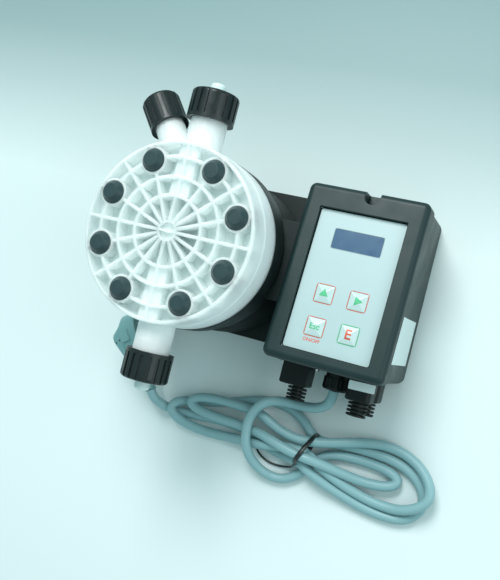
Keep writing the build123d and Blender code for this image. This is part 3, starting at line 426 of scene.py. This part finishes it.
def soften(
    shape: bmesh.types.BMesh, edges: list[bmesh.types.BMEdge], offset: float, steps: int
) -> None:
    """Round some edges of a shape.

    Args:
        shape: the shape.
        edges: the edges to round.
        offset: how far the rounding reaches on each side, in the shape's own unit.
        steps: facets across each rounding.
    """
    bmesh.ops.bevel(
        shape, geom=edges, offset=offset, segments=steps, profile=0.5, affect="EDGES", material=-1
    )


def rounded_loop(width: float, height: float, radius: float, steps: int = 6) -> list[Pair]:
    """Points round a rectangle with rounded corners, anticlockwise about the origin.

    Args:
        width: its width.
        height: its height.
        radius: radius of its corners.
        steps: steps in each corner.

    Returns:
        The points in order.
    """
    points = []
    for k, (side, level) in enumerate(((1, 1), (-1, 1), (-1, -1), (1, -1))):
        for step in range(steps + 1):
            angle = (k + step / steps) * pi / 2
            points.append((
                side * (width / 2 - radius) + radius * cos(angle),
                level * (height / 2 - radius) + radius * sin(angle),
            ))
    return points


@dataclass
class ControlPanel:
    """The sloping keypad panel: outlines and legends on its film and its keys, and a painted shadow
    band round the film's rim.
    """

    finishes: Finishes
    centre: Point = (111.1, -1.3, 78.5)
    tilt: float = 6.8
    film_depth: float = 3.5
    film_size: Pair = (61.9, 100.3)
    film_drop: float = 3.3
    film_shadow_width: float = 0.7
    print_thickness: float = 0.06
    key_size: float = 12.4
    key_root: float = 1.9
    key_skirt: float = 0.25
    key_crown: float = 1.9
    key_crown_half: float = 1.5
    key_edge: float = 0.35
    key_edge_steps: int = 3
    arrow_reach: float = 3.6
    escape_size: float = 5.6
    enter_size: float = 9.5
    on_off_size: float = 3.3
    on_off_drop: float = 9.4
    letter_gain: float = 0.02
    outline_width: float = 0.45
    outline_gap: float = 0.1
    outline_corner: float = 1.5
    weld: float = 0.002
    display_centre: Pair = (0.6, 27.1)
    display_size: Pair = (34.7, 14.0)
    display_line: float = 0.3
    key_centres: dict[Body, Pair] = field(
        default_factory=lambda: {
            Body.KEY_UP: (-11.8, -12.2),
            Body.KEY_RIGHT: (11.8, -12.2),
            Body.KEY_ESCAPE: (-11.8, -35.5),
            Body.KEY_ENTER: (11.8, -35.5),
        }
    )

    def place(self, across: float, up: float, height: float, turn: float = 0.0) -> Matrix:
        """The matrix from flat millimetres to a place on the panel in metres.

        Args:
            across: millimetres to the right of the panel's middle.
            up: millimetres above the middle.
            height: millimetres above the panel's front plane.
            turn: degrees that the shape is turned in the panel.

        Returns:
            The matrix for the shape's vertices.
        """
        lean = Matrix.Rotation(radians(-self.tilt), 4, "X")
        shift = Matrix.Translation(Vector((across, up, height)))
        return (
            Matrix.Scale(MM, 4)
            @ Matrix.Translation(Vector(self.centre))
            @ lean
            @ shift
            @ Matrix.Rotation(radians(turn), 4, "Z")
        )

    def outline(self, name: str, spot: Pair, size: Pair, width: float, finish: Finish) -> None:
        """Lay a rectangular outline with rounded corners on the film, printed in ink or, round the
        film's rim, as painted shadow.

        Args:
            name: the piece's name.
            spot: its middle, to the right of and above the panel's middle.
            size: clear width and height inside the line.
            width: width of the line.
            finish: the ink, or the near-black of the painted shadow.
        """
        shape = bmesh.new()
        loops = []
        for growth in (0.0, width):
            corners = rounded_loop(
                size[0] + 2 * growth, size[1] + 2 * growth, self.outline_corner + growth
            )
            loops.append([shape.verts.new((*corner, self.print_thickness)) for corner in corners])
        inner, outer = loops
        for k, start in enumerate(inner):
            shape.faces.new((start, outer[k], outer[k - 1], inner[k - 1]))
        shape.normal_update()
        bmesh.ops.solidify(shape, geom=shape.faces[:], thickness=self.print_thickness)
        bmesh.ops.transform(shape, matrix=self.place(*spot, -self.film_depth), verts=shape.verts)
        piece = mesh_piece(name, shape)
        dress(piece, self.finishes.of(finish))
        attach(piece, Body.PUMP.value)

    def facet_height(self, across: float, up: float) -> float:
        """Height of a key over the film at a place on it.

        Args:
            across: millimetres to the right of the key's middle.
            up: millimetres above its middle.

        Returns:
            The height in millimetres.
        """
        reach = max(abs(across), abs(up), self.key_crown_half)
        slope = (self.key_size / 2 - reach) / (self.key_size / 2 - self.key_crown_half)
        return self.key_skirt + (self.key_crown - self.key_skirt) * slope

    def key_cap(self, body: Body) -> None:
        """Mould one key, whose four facets rise to a small crown.

        Args:
            body: the key.
        """
        half = self.key_size / 2
        shape = bmesh.new()
        corners = ((-1, -1), (1, -1), (1, 1), (-1, 1))
        levels = (
            (half, -self.key_root), (half, self.key_skirt), (self.key_crown_half, self.key_crown),
        )
        rings = [
            [shape.verts.new((x * reach, y * reach, height)) for x, y in corners]
            for reach, height in levels
        ]
        for low, high in zip(rings, rings[1:]):
            for k in range(4):
                shape.faces.new((low[k - 1], low[k], high[k], high[k - 1]))
        shape.faces.new(rings[-1])
        shape.faces.new(rings[0])
        bmesh.ops.recalc_face_normals(shape, faces=shape.faces)
        sharp = [edge for edge in shape.edges if max(v.co.z for v in edge.verts) > 0]
        soften(shape, sharp, self.key_edge, self.key_edge_steps)
        spot = self.key_centres[body]
        bmesh.ops.transform(shape, matrix=self.place(*spot, -self.film_depth), verts=shape.verts)
        piece = mesh_piece(f"{body.value}_cap", shape)
        dress(piece, self.finishes.of(Finishes.key))
        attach(piece, body.value)
        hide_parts(body.value)

    def print_on_key(
        self, name: str, shape: bmesh.types.BMesh, body: Body, finish: Finish
    ) -> None:
        """Drape a flat shape over a key's facets as print.

        Args:
            name: the piece's name.
            shape: the flat shape in millimetres from the key's middle.
            body: the key.
            finish: the ink.
        """
        crown = self.key_crown_half
        cuts = [((1, 1, 0), 0.0), ((1, -1, 0), 0.0)]
        cuts += [((1, 0, 0), side * crown) for side in (-1, 1)]
        cuts += [((0, 1, 0), side * crown) for side in (-1, 1)]
        for normal, reach in cuts:
            bmesh.ops.bisect_plane(
                shape,
                geom=shape.verts[:] + shape.edges[:] + shape.faces[:],
                plane_co=Vector(normal) * reach,
                plane_no=normal,
            )
        bmesh.ops.remove_doubles(shape, verts=shape.verts, dist=self.weld)
        for vertex in shape.verts:
            vertex.co.z = self.facet_height(vertex.co.x, vertex.co.y) + self.print_thickness
        shape.normal_update()
        bmesh.ops.solidify(shape, geom=shape.faces[:], thickness=self.print_thickness)
        spot = self.key_centres[body]
        bmesh.ops.transform(shape, matrix=self.place(*spot, -self.film_depth), verts=shape.verts)
        piece = mesh_piece(name, shape)
        dress(piece, self.finishes.of(finish))
        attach(piece, body.value)

    def arrow(self, body: Body, turn: float) -> None:
        """Print a solid arrowhead on a key.

        Args:
            body: the key.
            turn: degrees from pointing up.
        """
        shape = bmesh.new()
        bmesh.ops.create_circle(shape, cap_ends=True, segments=3, radius=self.arrow_reach)
        bmesh.ops.rotate(shape, matrix=Matrix.Rotation(radians(turn), 3, "Z"), verts=shape.verts)
        self.print_on_key(f"{body.value}_arrow", shape, body, Finishes.green_ink)

    def words(self, name: str, text: str, size: float) -> bmesh.types.BMesh:
        """Short flat lettering in millimetres about its middle.

        Args:
            name: name for the passing text object.
            text: what it says.
            size: letter size in millimetres.

        Returns:
            The lettering as a flat shape.
        """
        letters = bpy.data.curves.new(name, "FONT")
        letters.body = text
        letters.align_x = "CENTER"
        letters.align_y = "CENTER"
        letters.size = size
        letters.offset = self.letter_gain * size
        flat = as_mesh(link(name, letters))
        shape = bmesh.new()
        shape.from_mesh(flat.data)
        bpy.data.objects.remove(flat)
        return shape

    def build(self) -> None:
        """Mould the keys, print every outline and legend, and lay the painted shadow band round the
        film's rim.
        """
        clear = self.key_size + 2 * self.outline_gap
        for body, spot in self.key_centres.items():
            ink = Finishes.green_ink if body is Body.KEY_ENTER else Finishes.red_ink
            self.key_cap(body)
            self.outline(f"{body.value}_outline", spot, (clear, clear), self.outline_width, ink)
        self.outline(
            "display_outline", self.display_centre, self.display_size, self.display_line,
            Finishes.grey_ink,
        )
        # Near-black band inside the film's rim: painted shadow standing in for the shade that the
        # recess wall casts on the film.
        width, height = (side - 2 * self.film_shadow_width for side in self.film_size)
        self.outline(
            "film_edge_painted_shadow", (0, -self.film_drop), (width, height), self.film_shadow_width, Finishes.painted_shade
        )
        self.arrow(Body.KEY_UP, 0)
        self.arrow(Body.KEY_RIGHT, -90)
        for body, text, size, ink in (
            (Body.KEY_ESCAPE, "Esc", self.escape_size, Finishes.green_ink),
            (Body.KEY_ENTER, "E", self.enter_size, Finishes.red_ink),
        ):
            name = f"{body.value}_legend"
            self.print_on_key(name, self.words(name, text, size), body, ink)
        across, up = self.key_centres[Body.KEY_ESCAPE]
        legend = self.words("on_off_legend", "ON/OFF", self.on_off_size)
        place = self.place(
            across, up - self.on_off_drop, self.print_thickness - self.film_depth
        )
        bmesh.ops.remove_doubles(legend, verts=legend.verts, dist=self.weld)
        legend.normal_update()
        bmesh.ops.solidify(legend, geom=legend.faces[:], thickness=self.print_thickness)
        bmesh.ops.transform(legend, matrix=place, verts=legend.verts)
        piece = mesh_piece("on_off_legend", legend)
        dress(piece, self.finishes.of(Finishes.red_ink))
        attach(piece, Body.PUMP.value)
        LOG.info("keys moulded, outlines and legends printed")


@dataclass
class MainsPlug:
    """The angled mains plug that stands on its rim; sizes are in millimetres.

    Its own frame has X the way that the lead leaves, Y up and Z the way that the pins point.
    """

    finishes: Finishes
    centre: Point = (-62.1, -81.5, 19.0)
    turn: float = -54.9
    radius: float = 18.9
    front: float = 11.0
    back: float = -2.5
    grip: tuple[Pair, ...] = (
        (-15.0, 2.0), (-14.4, -3.0), (-10.2, -6.4), (-5.4, -12.4), (-3.6, -13.4), (0.0, -13.6),
        (14.6, -9.6), (33.0, -5.6), (37.0, -5.2), (37.0, 5.2), (30.0, 6.4), (14.0, 7.5),
        (-14.0, 7.5),
    )
    grip_length: float = 37.0
    grip_half: float = 11.5
    neck_half: float = 5.6
    relief_radius: float = 5.3
    relief_start: float = 29.0
    relief_grooves: tuple[Pair, ...] = (
        (0, 1.0), (10, 1.0), (10.4, 0.82), (11.6, 0.82), (12, 0.98), (13.6, 0.98), (14, 0.82),
        (15, 0.82), (15.4, 0.95), (15.6, 0.92), (16.2, 0.8),
    )
    rib: Point = (9.6, 7.0, 1.1)
    rib_spot: Point = (0.4, -0.15, 1.0)
    rib_edge: float = 0.5
    rib_edge_steps: int = 3
    hole_radius: float = 0.45
    hole_depth: float = 0.6
    hole_sink: float = 0.22
    hole_spots: tuple[Pair, ...] = ((1.5, -11.3), (0.3, -8.2))
    rim_steps: int = 72
    relief_steps: int = 32
    hole_steps: int = 16
    round_edge: float = 1.4
    round_steps: int = 4

    def place(self) -> Matrix:
        """The matrix from the plug's own millimetres to metres.

        Returns:
            The matrix for the plug's vertices.
        """
        turn = radians(self.turn)
        along = Vector((cos(turn), sin(turn), 0))
        out = Vector((-sin(turn), cos(turn), 0))
        basis = Matrix((along, Vector((0, 0, 1)), out)).transposed().to_4x4()
        return Matrix.Scale(MM, 4) @ Matrix.Translation(Vector(self.centre)) @ basis

    def disc(self, shape: bmesh.types.BMesh) -> None:
        """Turn the round pin face with its softened rims.

        Args:
            shape: the plug's shape, still empty.
        """
        bmesh.ops.create_cone(
            shape, cap_ends=True, segments=self.rim_steps, radius1=self.radius,
            radius2=self.radius, depth=self.front - self.back,
        )
        middle = Vector((0, 0, (self.front + self.back) / 2))
        bmesh.ops.translate(shape, vec=middle, verts=shape.verts)
        rims = [
            edge for edge in shape.edges
            if (edge.verts[0].co.z > middle.z) == (edge.verts[1].co.z > middle.z)
        ]
        soften(shape, rims, self.round_edge, self.round_steps)

    def handle(self, shape: bmesh.types.BMesh) -> None:
        """Raise the grip, which narrows towards the lead, from its outline seen from above.

        Args:
            shape: the plug's shape.
        """
        rows = []
        for side in (-1, 1):
            row = []
            for along, out in self.grip:
                share = min(max(along / self.grip_length, 0.0), 1.0)
                half = self.grip_half + (self.neck_half - self.grip_half) * share
                row.append(shape.verts.new((along, side * half, out)))
            rows.append(row)
        low, high = rows
        faces = [shape.faces.new(low), shape.faces.new(high[::-1])]
        for k, corner in enumerate(low):
            faces.append(shape.faces.new((corner, low[k - 1], high[k - 1], high[k])))
        bmesh.ops.recalc_face_normals(shape, faces=faces)
        rims = [edge for face in faces[:2] for edge in face.edges]
        soften(shape, rims, self.round_edge, self.round_steps)

    def relief(self, shape: bmesh.types.BMesh) -> None:
        """Add the round strain relief with its two grooves.

        Args:
            shape: the plug's shape.
        """
        rings = []
        for step, share in self.relief_grooves:
            made = bmesh.ops.create_circle(
                shape, cap_ends=False, segments=self.relief_steps,
                radius=self.relief_radius * share,
            )
            along = Vector((self.relief_start + step, 0, 0))
            turn = Matrix.Translation(along) @ Matrix.Rotation(pi / 2, 4, "Y")
            bmesh.ops.transform(shape, matrix=turn, verts=made["verts"])
            rings.append(made["verts"])
        for near, far in zip(rings, rings[1:]):
            pair = (set(near), set(far))
            edges = [
                edge for edge in shape.edges if any(set(edge.verts) <= ring for ring in pair)
            ]
            bmesh.ops.bridge_loops(shape, edges=edges)
        for ring in (rings[0], rings[-1]):
            shape.faces.new(ring)

    def raised_rib(self, shape: bmesh.types.BMesh) -> None:
        """Add the moulded rib on top of the grip.

        Args:
            shape: the plug's shape.
        """
        length, width, height = self.rib
        along, sink, out = self.rib_spot
        made = bmesh.ops.create_cube(shape, size=1)
        bmesh.ops.scale(shape, vec=(length, 2 * height, width), verts=made["verts"])
        bmesh.ops.translate(shape, vec=(along, self.radius + sink, out), verts=made["verts"])
        edges = [edge for edge in shape.edges if edge.verts[0] in made["verts"]]
        soften(shape, edges, self.rib_edge, self.rib_edge_steps)

    def holes(self) -> bpy.types.Object:
        """Sink two tiny near-black pegs into the grip's upper face: painted shade that stands in for
        the hollows of its two mould holes.

        Returns:
            The holes, as one piece.
        """
        shape = bmesh.new()
        for along, out in self.hole_spots:
            made = bmesh.ops.create_cone(
                shape, cap_ends=True, segments=self.hole_steps, radius1=self.hole_radius,
                radius2=self.hole_radius, depth=self.hole_depth,
            )
            spot = Vector((along, self.grip_half - self.hole_sink, out))
            turn = Matrix.Translation(spot) @ Matrix.Rotation(pi / 2, 4, "X")
            bmesh.ops.transform(shape, matrix=turn, verts=made["verts"])
        bmesh.ops.transform(shape, matrix=self.place(), verts=shape.verts)
        piece = mesh_piece("plug_mould_holes_painted_shade", shape)
        dress(piece, self.finishes.of(Finishes.painted_shade))
        return piece

    def build(self) -> list[bpy.types.Object]:
        """Mould the plug.

        Returns:
            The plug and its mould holes.
        """
        shape = bmesh.new()
        self.disc(shape)
        self.handle(shape)
        self.relief(shape)
        self.raised_rib(shape)
        bmesh.ops.transform(shape, matrix=self.place(), verts=shape.verts)
        plug = mesh_piece("mains_plug", shape)
        dress(plug, self.finishes.of(Finishes.plug))
        pieces = [plug, self.holes()]
        for piece in pieces:
            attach(piece, Body.PUMP.value)
        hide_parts("plug_body")
        LOG.info("plug moulded")
        return pieces


@dataclass
class MainsLead:
    """The coiled supply lead, its tie and the route that it takes, in millimetres."""

    finishes: Finishes
    diameter: float = 7.4
    exit: Point = (112.0, -78.0, 33.0)
    route: tuple[Point, ...] = (
        # out of the gland, left over the bundle and down round its lower side
        (112.0, -78.0, 33.0), (111.5, -86.0, 31.5), (105.5, -92.8, 27.8), (94.5, -96.0, 23.8),
        (80.0, -96.5, 21.0), (66.5, -98.2, 20.2), (56.2, -104.2, 20.0), (50.6, -114.4, 20.0),
        (50.2, -126.8, 20.0), (53.2, -138.6, 19.4), (58.8, -148.4, 13.2), (68.6, -155.6, 6.0),
        (81.2, -156.8, 3.8), (92.0, -151.0, 3.8), (99.2, -143.2, 3.8), (104.4, -135.2, 3.8),
        # inner loop on the right
        (110.5, -129.4, 3.8), (119.0, -126.2, 3.8), (130.0, -124.9, 3.8), (144.0, -124.4, 3.9),
        (157.5, -125.4, 4.2), (165.6, -128.2, 4.8), (167.6, -132.2, 5.4), (163.0, -136.2, 6.2),
        (152.0, -138.3, 7.2), (138.0, -138.2, 8.8), (124.0, -136.2, 12.2), (111.0, -134.0, 16.6),
        (103.0, -133.0, 19.2), (95.2, -132.4, 19.4), (84.0, -131.0, 19.2), (72.0, -128.2, 17.8),
        (58.0, -126.2, 13.2), (43.3, -125.0, 11.6),
        # inner loop on the left
        (26.1, -124.8, 11.6), (12.3, -124.2, 12.0), (1.6, -122.4, 12.8), (-3.4, -118.4, 13.2),
        (2.8, -113.6, 12.6), (16.5, -111.3, 11.8), (30.9, -110.7, 11.6), (44.5, -111.0, 11.6),
        (56.6, -112.2, 11.6), (65.2, -116.2, 11.9), (75.0, -119.8, 12.6), (87.0, -121.9, 13.2),
        (99.5, -121.3, 13.2), (112.0, -118.4, 12.8), (126.0, -113.9, 11.8), (138.9, -110.2, 8.8),
        # outer loop on the right
        (150.0, -108.6, 5.8), (160.5, -109.0, 4.8), (172.0, -111.6, 5.2), (183.6, -118.0, 7.6),
        (191.0, -126.6, 10.4), (192.6, -136.0, 11.8), (186.8, -143.4, 11.6), (177.2, -148.6, 9.6),
        (167.4, -150.8, 7.2), (152.9, -150.8, 5.6), (137.5, -147.6, 6.6), (124.9, -143.4, 9.2),
        (113.0, -138.4, 11.3), (104.5, -133.2, 11.5), (96.6, -129.6, 11.6), (86.0, -129.8, 11.7),
        (75.0, -131.9, 11.8), (64.0, -134.4, 11.6), (53.0, -135.9, 10.2), (41.0, -137.0, 6.0),
        # outer loop on the left
        (27.1, -138.6, 3.9), (8.6, -139.3, 4.8), (-5.9, -136.8, 8.4), (-15.2, -132.4, 11.8),
        (-19.0, -126.6, 12.0), (-14.5, -121.4, 9.0), (-6.5, -119.2, 4.8), (3.0, -117.4, 3.8),
        (15.0, -114.8, 3.8), (28.0, -111.0, 3.8), (40.0, -106.6, 3.8), (51.0, -102.8, 3.8),
        (62.0, -101.2, 3.8), (73.0, -102.0, 3.8), (83.0, -105.2, 3.8), (90.5, -110.4, 3.8),
        (95.8, -116.2, 3.8), (102.4, -119.2, 3.8), (111.0, -119.2, 3.8), (122.0, -117.6, 3.8),
        (134.0, -116.6, 3.8), (148.0, -116.6, 3.8), (160.0, -117.4, 3.8), (171.5, -120.4, 3.8),
        # middle loop on the right
        (181.0, -126.2, 3.8), (187.2, -134.6, 3.8), (188.4, -145.0, 3.8), (182.3, -153.8, 3.8),
        (172.8, -157.8, 3.8), (158.4, -158.4, 3.8), (142.9, -156.4, 4.2), (126.9, -152.0, 6.4),
        (113.0, -147.4, 9.8), (103.5, -143.2, 11.7), (93.8, -138.0, 11.6), (84.0, -137.6, 9.0),
        (75.0, -137.8, 4.4), (65.0, -135.4, 3.8), (55.0, -131.2, 3.8), (43.0, -127.8, 3.8),
        # along the floor to the plug
        (30.0, -127.0, 3.8), (16.0, -127.8, 3.8), (2.0, -129.2, 3.8), (-9.0, -130.0, 3.8),
        (-16.8, -130.2, 4.6), (-23.4, -129.2, 8.0), (-28.6, -127.0, 13.4), (-32.6, -123.5, 18.2),
        (-36.05, -118.56, 19.0),
    )
    tie_centre: Point = (97.0, -128.0, 0.0)
    tie_turn: float = 68.0
    tie_width: float = 3.2
    tie_wall: float = 0.5
    tail_radius: float = 0.8
    tube_steps: int = 5
    span_steps: int = 6
    tie_section: tuple[Pair, ...] = (
        (13.4, 1.4), (14.2, 5.2), (13.0, 13.4), (9.4, 18.0), (0.0, 23.6), (-5.4, 24.2),
        (-9.6, 21.6), (-13.6, 14.4), (-13.4, 8.8), (-8.6, 2.6), (-1.0, 0.5), (8.0, 0.3),
    )
    tail_route: tuple[Point, ...] = (
        (93.0, -138.6, 17.0), (90.8, -142.4, 12.0), (86.0, -145.6, 3.6), (78.6, -147.4, 1.8),
        (70.6, -147.6, 1.6), (63.0, -145.6, 1.6), (57.4, -141.8, 1.4), (55.0, -138.6, 1.2),
    )

    def spline(self, name: str, points: tuple[Point, ...], radius: float) -> bpy.types.Object:
        """A round tube along one smooth spline.

        Args:
            name: the piece's name.
            points: the control points in millimetres.
            radius: the tube's radius in millimetres.

        Returns:
            The curve object.
        """
        curve = bpy.data.curves.new(name, "CURVE")
        curve.dimensions = "3D"
        curve.bevel_depth = radius * MM
        curve.bevel_resolution = self.tube_steps
        curve.resolution_u = self.span_steps
        curve.use_fill_caps = True
        line = curve.splines.new("NURBS")
        line.points.add(len(points) - 1)
        for control, point in zip(line.points, points):
            control.co = (*(Vector(point) * MM), 1)
        line.order_u = 3
        line.use_endpoint_u = True
        return link(name, curve)

    def tie(self) -> bpy.types.Object:
        """The flat tie drawn round the bundle's waist.

        Returns:
            The tie as a mesh.
        """
        curve = bpy.data.curves.new("lead_tie", "CURVE")
        curve.dimensions = "3D"
        curve.extrude = self.tie_width / 2 * MM
        curve.resolution_u = self.span_steps
        line = curve.splines.new("NURBS")
        line.points.add(len(self.tie_section) - 1)
        for control, (across, height) in zip(line.points, self.tie_section):
            control.co = (across * MM, height * MM, 0, 1)
        line.order_u = 3
        line.use_cyclic_u = True
        band = as_mesh(link("lead_tie", curve))
        turn = radians(self.tie_turn)
        across = Vector((cos(turn), sin(turn), 0))
        up = Vector((0, 0, 1))
        basis = Matrix((across, up, across.cross(up))).transposed().to_4x4()
        band.data.transform(Matrix.Translation(Vector(self.tie_centre) * MM) @ basis)
        wall = band.modifiers.new("film", "SOLIDIFY")
        wall.thickness = self.tie_wall * MM
        wall.offset = 0
        return band

    def build(self, plug: list[bpy.types.Object]) -> None:
        """Args:
            plug: the pieces of the plug at its far end; not used.
        """
        tie = self.tie()
        tail = self.spline("lead_tie_tail", self.tail_route, self.tail_radius)
        for piece in (tie, tail):
            dress(piece, self.finishes.of(Finishes.tie))
            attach(piece, Body.PUMP.value)
        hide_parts("twist_tie")
        lead = self.spline("mains_lead", self.route, self.diameter / 2)
        dress(lead, self.finishes.of(Finishes.lead))
        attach(lead, Body.PUMP.value)
        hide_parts("lead_at_gland", "lead_at_plug", "lead_hank")
        centre_line = lead.data.copy()
        centre_line.bevel_depth = 0
        probe = link("probe", centre_line)
        bpy.context.view_layer.update()
        walked = bpy.data.meshes.new_from_object(
            probe.evaluated_get(bpy.context.evaluated_depsgraph_get())
        )
        bpy.data.objects.remove(probe)


@dataclass
class Stickers:
    """Blank stickers on the control box and on the front connector."""

    finishes: Finishes
    thickness: float = 0.12
    corner: float = 0.8
    corner_steps: int = 4
    front_centre: Point = (135.6, -68.7, 57.5)
    front_size: Pair = (18.6, 6.0)
    front_turn: float = 2.0
    side_ends: tuple[Pair, ...] = ((-16.0, 60.1), (-48.5, 64.0))
    bezel_side: float = 154.0
    box_side: float = 153.2
    side_rise: float = 10.5
    side_lip: float = 0.3
    side_step: float = 1.2
    side_foot: float = 11.5

    def sticker(self, name: str, size: Pair, place: Matrix) -> None:
        """Lay one blank sticker with rounded corners.

        Args:
            name: the piece's name.
            size: width and height in millimetres.
            place: from its flat millimetres to metres.
        """
        shape = bmesh.new()
        bmesh.ops.create_grid(shape, x_segments=1, y_segments=1, size=0.5)
        bmesh.ops.scale(shape, vec=(*size, 1), verts=shape.verts)
        bmesh.ops.bevel(
            shape, geom=shape.verts[:], offset=self.corner, segments=self.corner_steps,
            profile=0.5, affect="VERTICES", material=-1,
        )
        bmesh.ops.solidify(shape, geom=shape.faces[:], thickness=self.thickness)
        bmesh.ops.transform(shape, matrix=place, verts=shape.verts)
        piece = mesh_piece(name, shape)
        dress(piece, self.finishes.of(Finishes.sticker))
        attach(piece, Body.PUMP.value)

    def side_sticker(self) -> None:
        """Lay the blank rating sticker over the seam between the bezel and the box."""
        shape = bmesh.new()
        rows = []
        for y, seam in self.side_ends:
            profile = (
                (self.bezel_side, seam + self.side_rise), (self.bezel_side, seam + self.side_lip),
                (self.box_side, seam - self.side_step), (self.box_side, self.side_foot),
            )
            rows.append([shape.verts.new((x + self.thickness, y, z)) for x, z in profile])
        upper, lower = rows
        for k in range(3):
            shape.faces.new((upper[k], upper[k + 1], lower[k + 1], lower[k]))
        shape.normal_update()
        bmesh.ops.solidify(shape, geom=shape.faces[:], thickness=self.thickness)
        bmesh.ops.scale(shape, vec=(MM, MM, MM), verts=shape.verts)
        piece = mesh_piece("side_sticker", shape)
        dress(piece, self.finishes.of(Finishes.sticker))
        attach(piece, Body.PUMP.value)

    def build(self) -> None:
        """Lay both stickers."""
        self.side_sticker()
        x, y, z = self.front_centre
        front = Matrix.Translation(Vector((x, y, z + self.thickness)))
        turn = Matrix.Rotation(radians(self.front_turn), 4, "Z")
        self.sticker("connector_sticker", self.front_size, Matrix.Scale(MM, 4) @ front @ turn)
        LOG.info("stickers laid")


@dataclass
class Studio:
    """Floor, soft lights and the camera."""

    eye: Point = (244.2, -35.1, 598.7)
    right: Point = (0.908, 0.248, -0.338)
    up: Point = (-0.225, 0.968, 0.107)
    frame_height: float = 580.0
    focal_pixels: float = 800.0
    sensor: float = 36.0
    aim: Point = (0.08, -0.03, 0.05)
    sky: Colour = (0.66, 0.96, 0.98)
    sky_strength: float = 0.58
    lamp_colour: Colour = (0.95, 1.0, 1.0)
    floor_size: float = 3.0
    floor_roughness: float = 0.5
    floor_specular: float = 0.3
    floor_span: Pair = (-0.2, 0.3)
    floor_near: Colour = (0.79, 0.85, 0.855)
    floor_far_painted_shade: Colour = (0.13, 0.235, 0.245)
    floor_painted_falloff: tuple[tuple[float, Colour], ...] = (
        (0.48, (0.72, 0.79, 0.79)), (0.64, (0.44, 0.52, 0.52)), (0.74, (0.29, 0.385, 0.39)),
    )

    def camera(self) -> None:
        """Stand the camera at its place and make it the scene's own."""
        view = bpy.data.cameras.new("camera")
        view.sensor_width = self.sensor
        view.lens = self.focal_pixels / self.frame_height * self.sensor
        eye = link("camera", view)
        right = Vector(self.right).normalized()
        back = right.cross(Vector(self.up)).normalized()
        up = back.cross(right)
        turn = Matrix((right, up, back)).transposed().to_4x4()
        eye.matrix_world = Matrix.Translation(Vector(self.eye) * MM) @ turn
        bpy.context.scene.camera = eye

    def lamp(self, name: str, place: Point, size: float, power: float) -> None:
        """Hang one square soft light that faces the pump.

        Args:
            name: the light's name.
            place: where it hangs, in metres.
            size: its side in metres.
            power: its power in watts.
        """
        light = bpy.data.lights.new(name, "AREA")
        light.shape = "SQUARE"
        light.size = size
        light.energy = power
        light.color = self.lamp_colour
        lamp = link(name, light)
        towards = Vector(self.aim) - Vector(place)
        turn = towards.to_track_quat("-Z", "Y").to_matrix().to_4x4()
        lamp.matrix_world = Matrix.Translation(Vector(place)) @ turn

    def floor(self) -> None:
        """Lay the pale floor, whose colour is painted darker and more teal away from the camera's
        near side: painted shade for the falloff of the studio light.
        """
        shape = bmesh.new()
        bmesh.ops.create_grid(shape, x_segments=2, y_segments=2, size=self.floor_size / 2)
        piece = mesh_piece("floor", shape)
        made = bpy.data.materials.new("pale_floor_painted_falloff")
        made.use_nodes = True
        tree = made.node_tree
        shader = tree.nodes["Principled BSDF"]
        shader.inputs["Roughness"].default_value = self.floor_roughness
        level = shader.inputs["Specular IOR Level"]
        level.default_value = self.floor_specular
        place = tree.nodes.new("ShaderNodeTexCoord")
        split = tree.nodes.new("ShaderNodeSeparateXYZ")
        span = tree.nodes.new("ShaderNodeMapRange")
        span.inputs["From Min"].default_value = self.floor_span[0]
        span.inputs["From Max"].default_value = self.floor_span[1]
        # The ramp's darker stops are painted shade, standing in for the light's falloff across the
        # floor.
        ramp = tree.nodes.new("ShaderNodeValToRGB")
        ramp.color_ramp.elements[0].color = (*self.floor_near, 1)
        ramp.color_ramp.elements[1].color = (*self.floor_far_painted_shade, 1)
        for position, colour in self.floor_painted_falloff:
            ramp.color_ramp.elements.new(position).color = (*colour, 1)
        tree.links.new(place.outputs["Object"], split.inputs["Vector"])
        tree.links.new(split.outputs["Y"], span.inputs["Value"])
        tree.links.new(span.outputs["Result"], ramp.inputs["Fac"])
        tree.links.new(ramp.outputs["Color"], shader.inputs["Base Color"])
        dress(piece, made)

    def build(self) -> None:
        """Set up the whole studio."""
        self.camera()
        self.floor()
        world = bpy.data.worlds.new("studio")
        world.use_nodes = True
        sky = world.node_tree.nodes["Background"]
        sky.inputs["Color"].default_value = (*self.sky, 1)
        sky.inputs["Strength"].default_value = self.sky_strength
        bpy.context.scene.world = world
        self.lamp("key_light", (-0.1, 0.85, 1.15), size=0.6, power=17.2)
        self.lamp("side_light", (1.1, 0.1, 0.8), size=0.9, power=4.3)
        bpy.context.scene.view_settings.view_transform = "Standard"
        LOG.info("studio set up")


def main() -> None:
    """Build the dressed pump."""
    logging.basicConfig(level=logging.INFO, format="%(message)s")
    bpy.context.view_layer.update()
    Studio().build()
    finishes = Finishes()
    plug = MainsPlug(finishes).build()
    MainsLead(finishes).build(plug)
    finishes.cover_nodes()
    ControlPanel(finishes).build()
    Stickers(finishes).build()


if __name__ == "__main__":
    main()
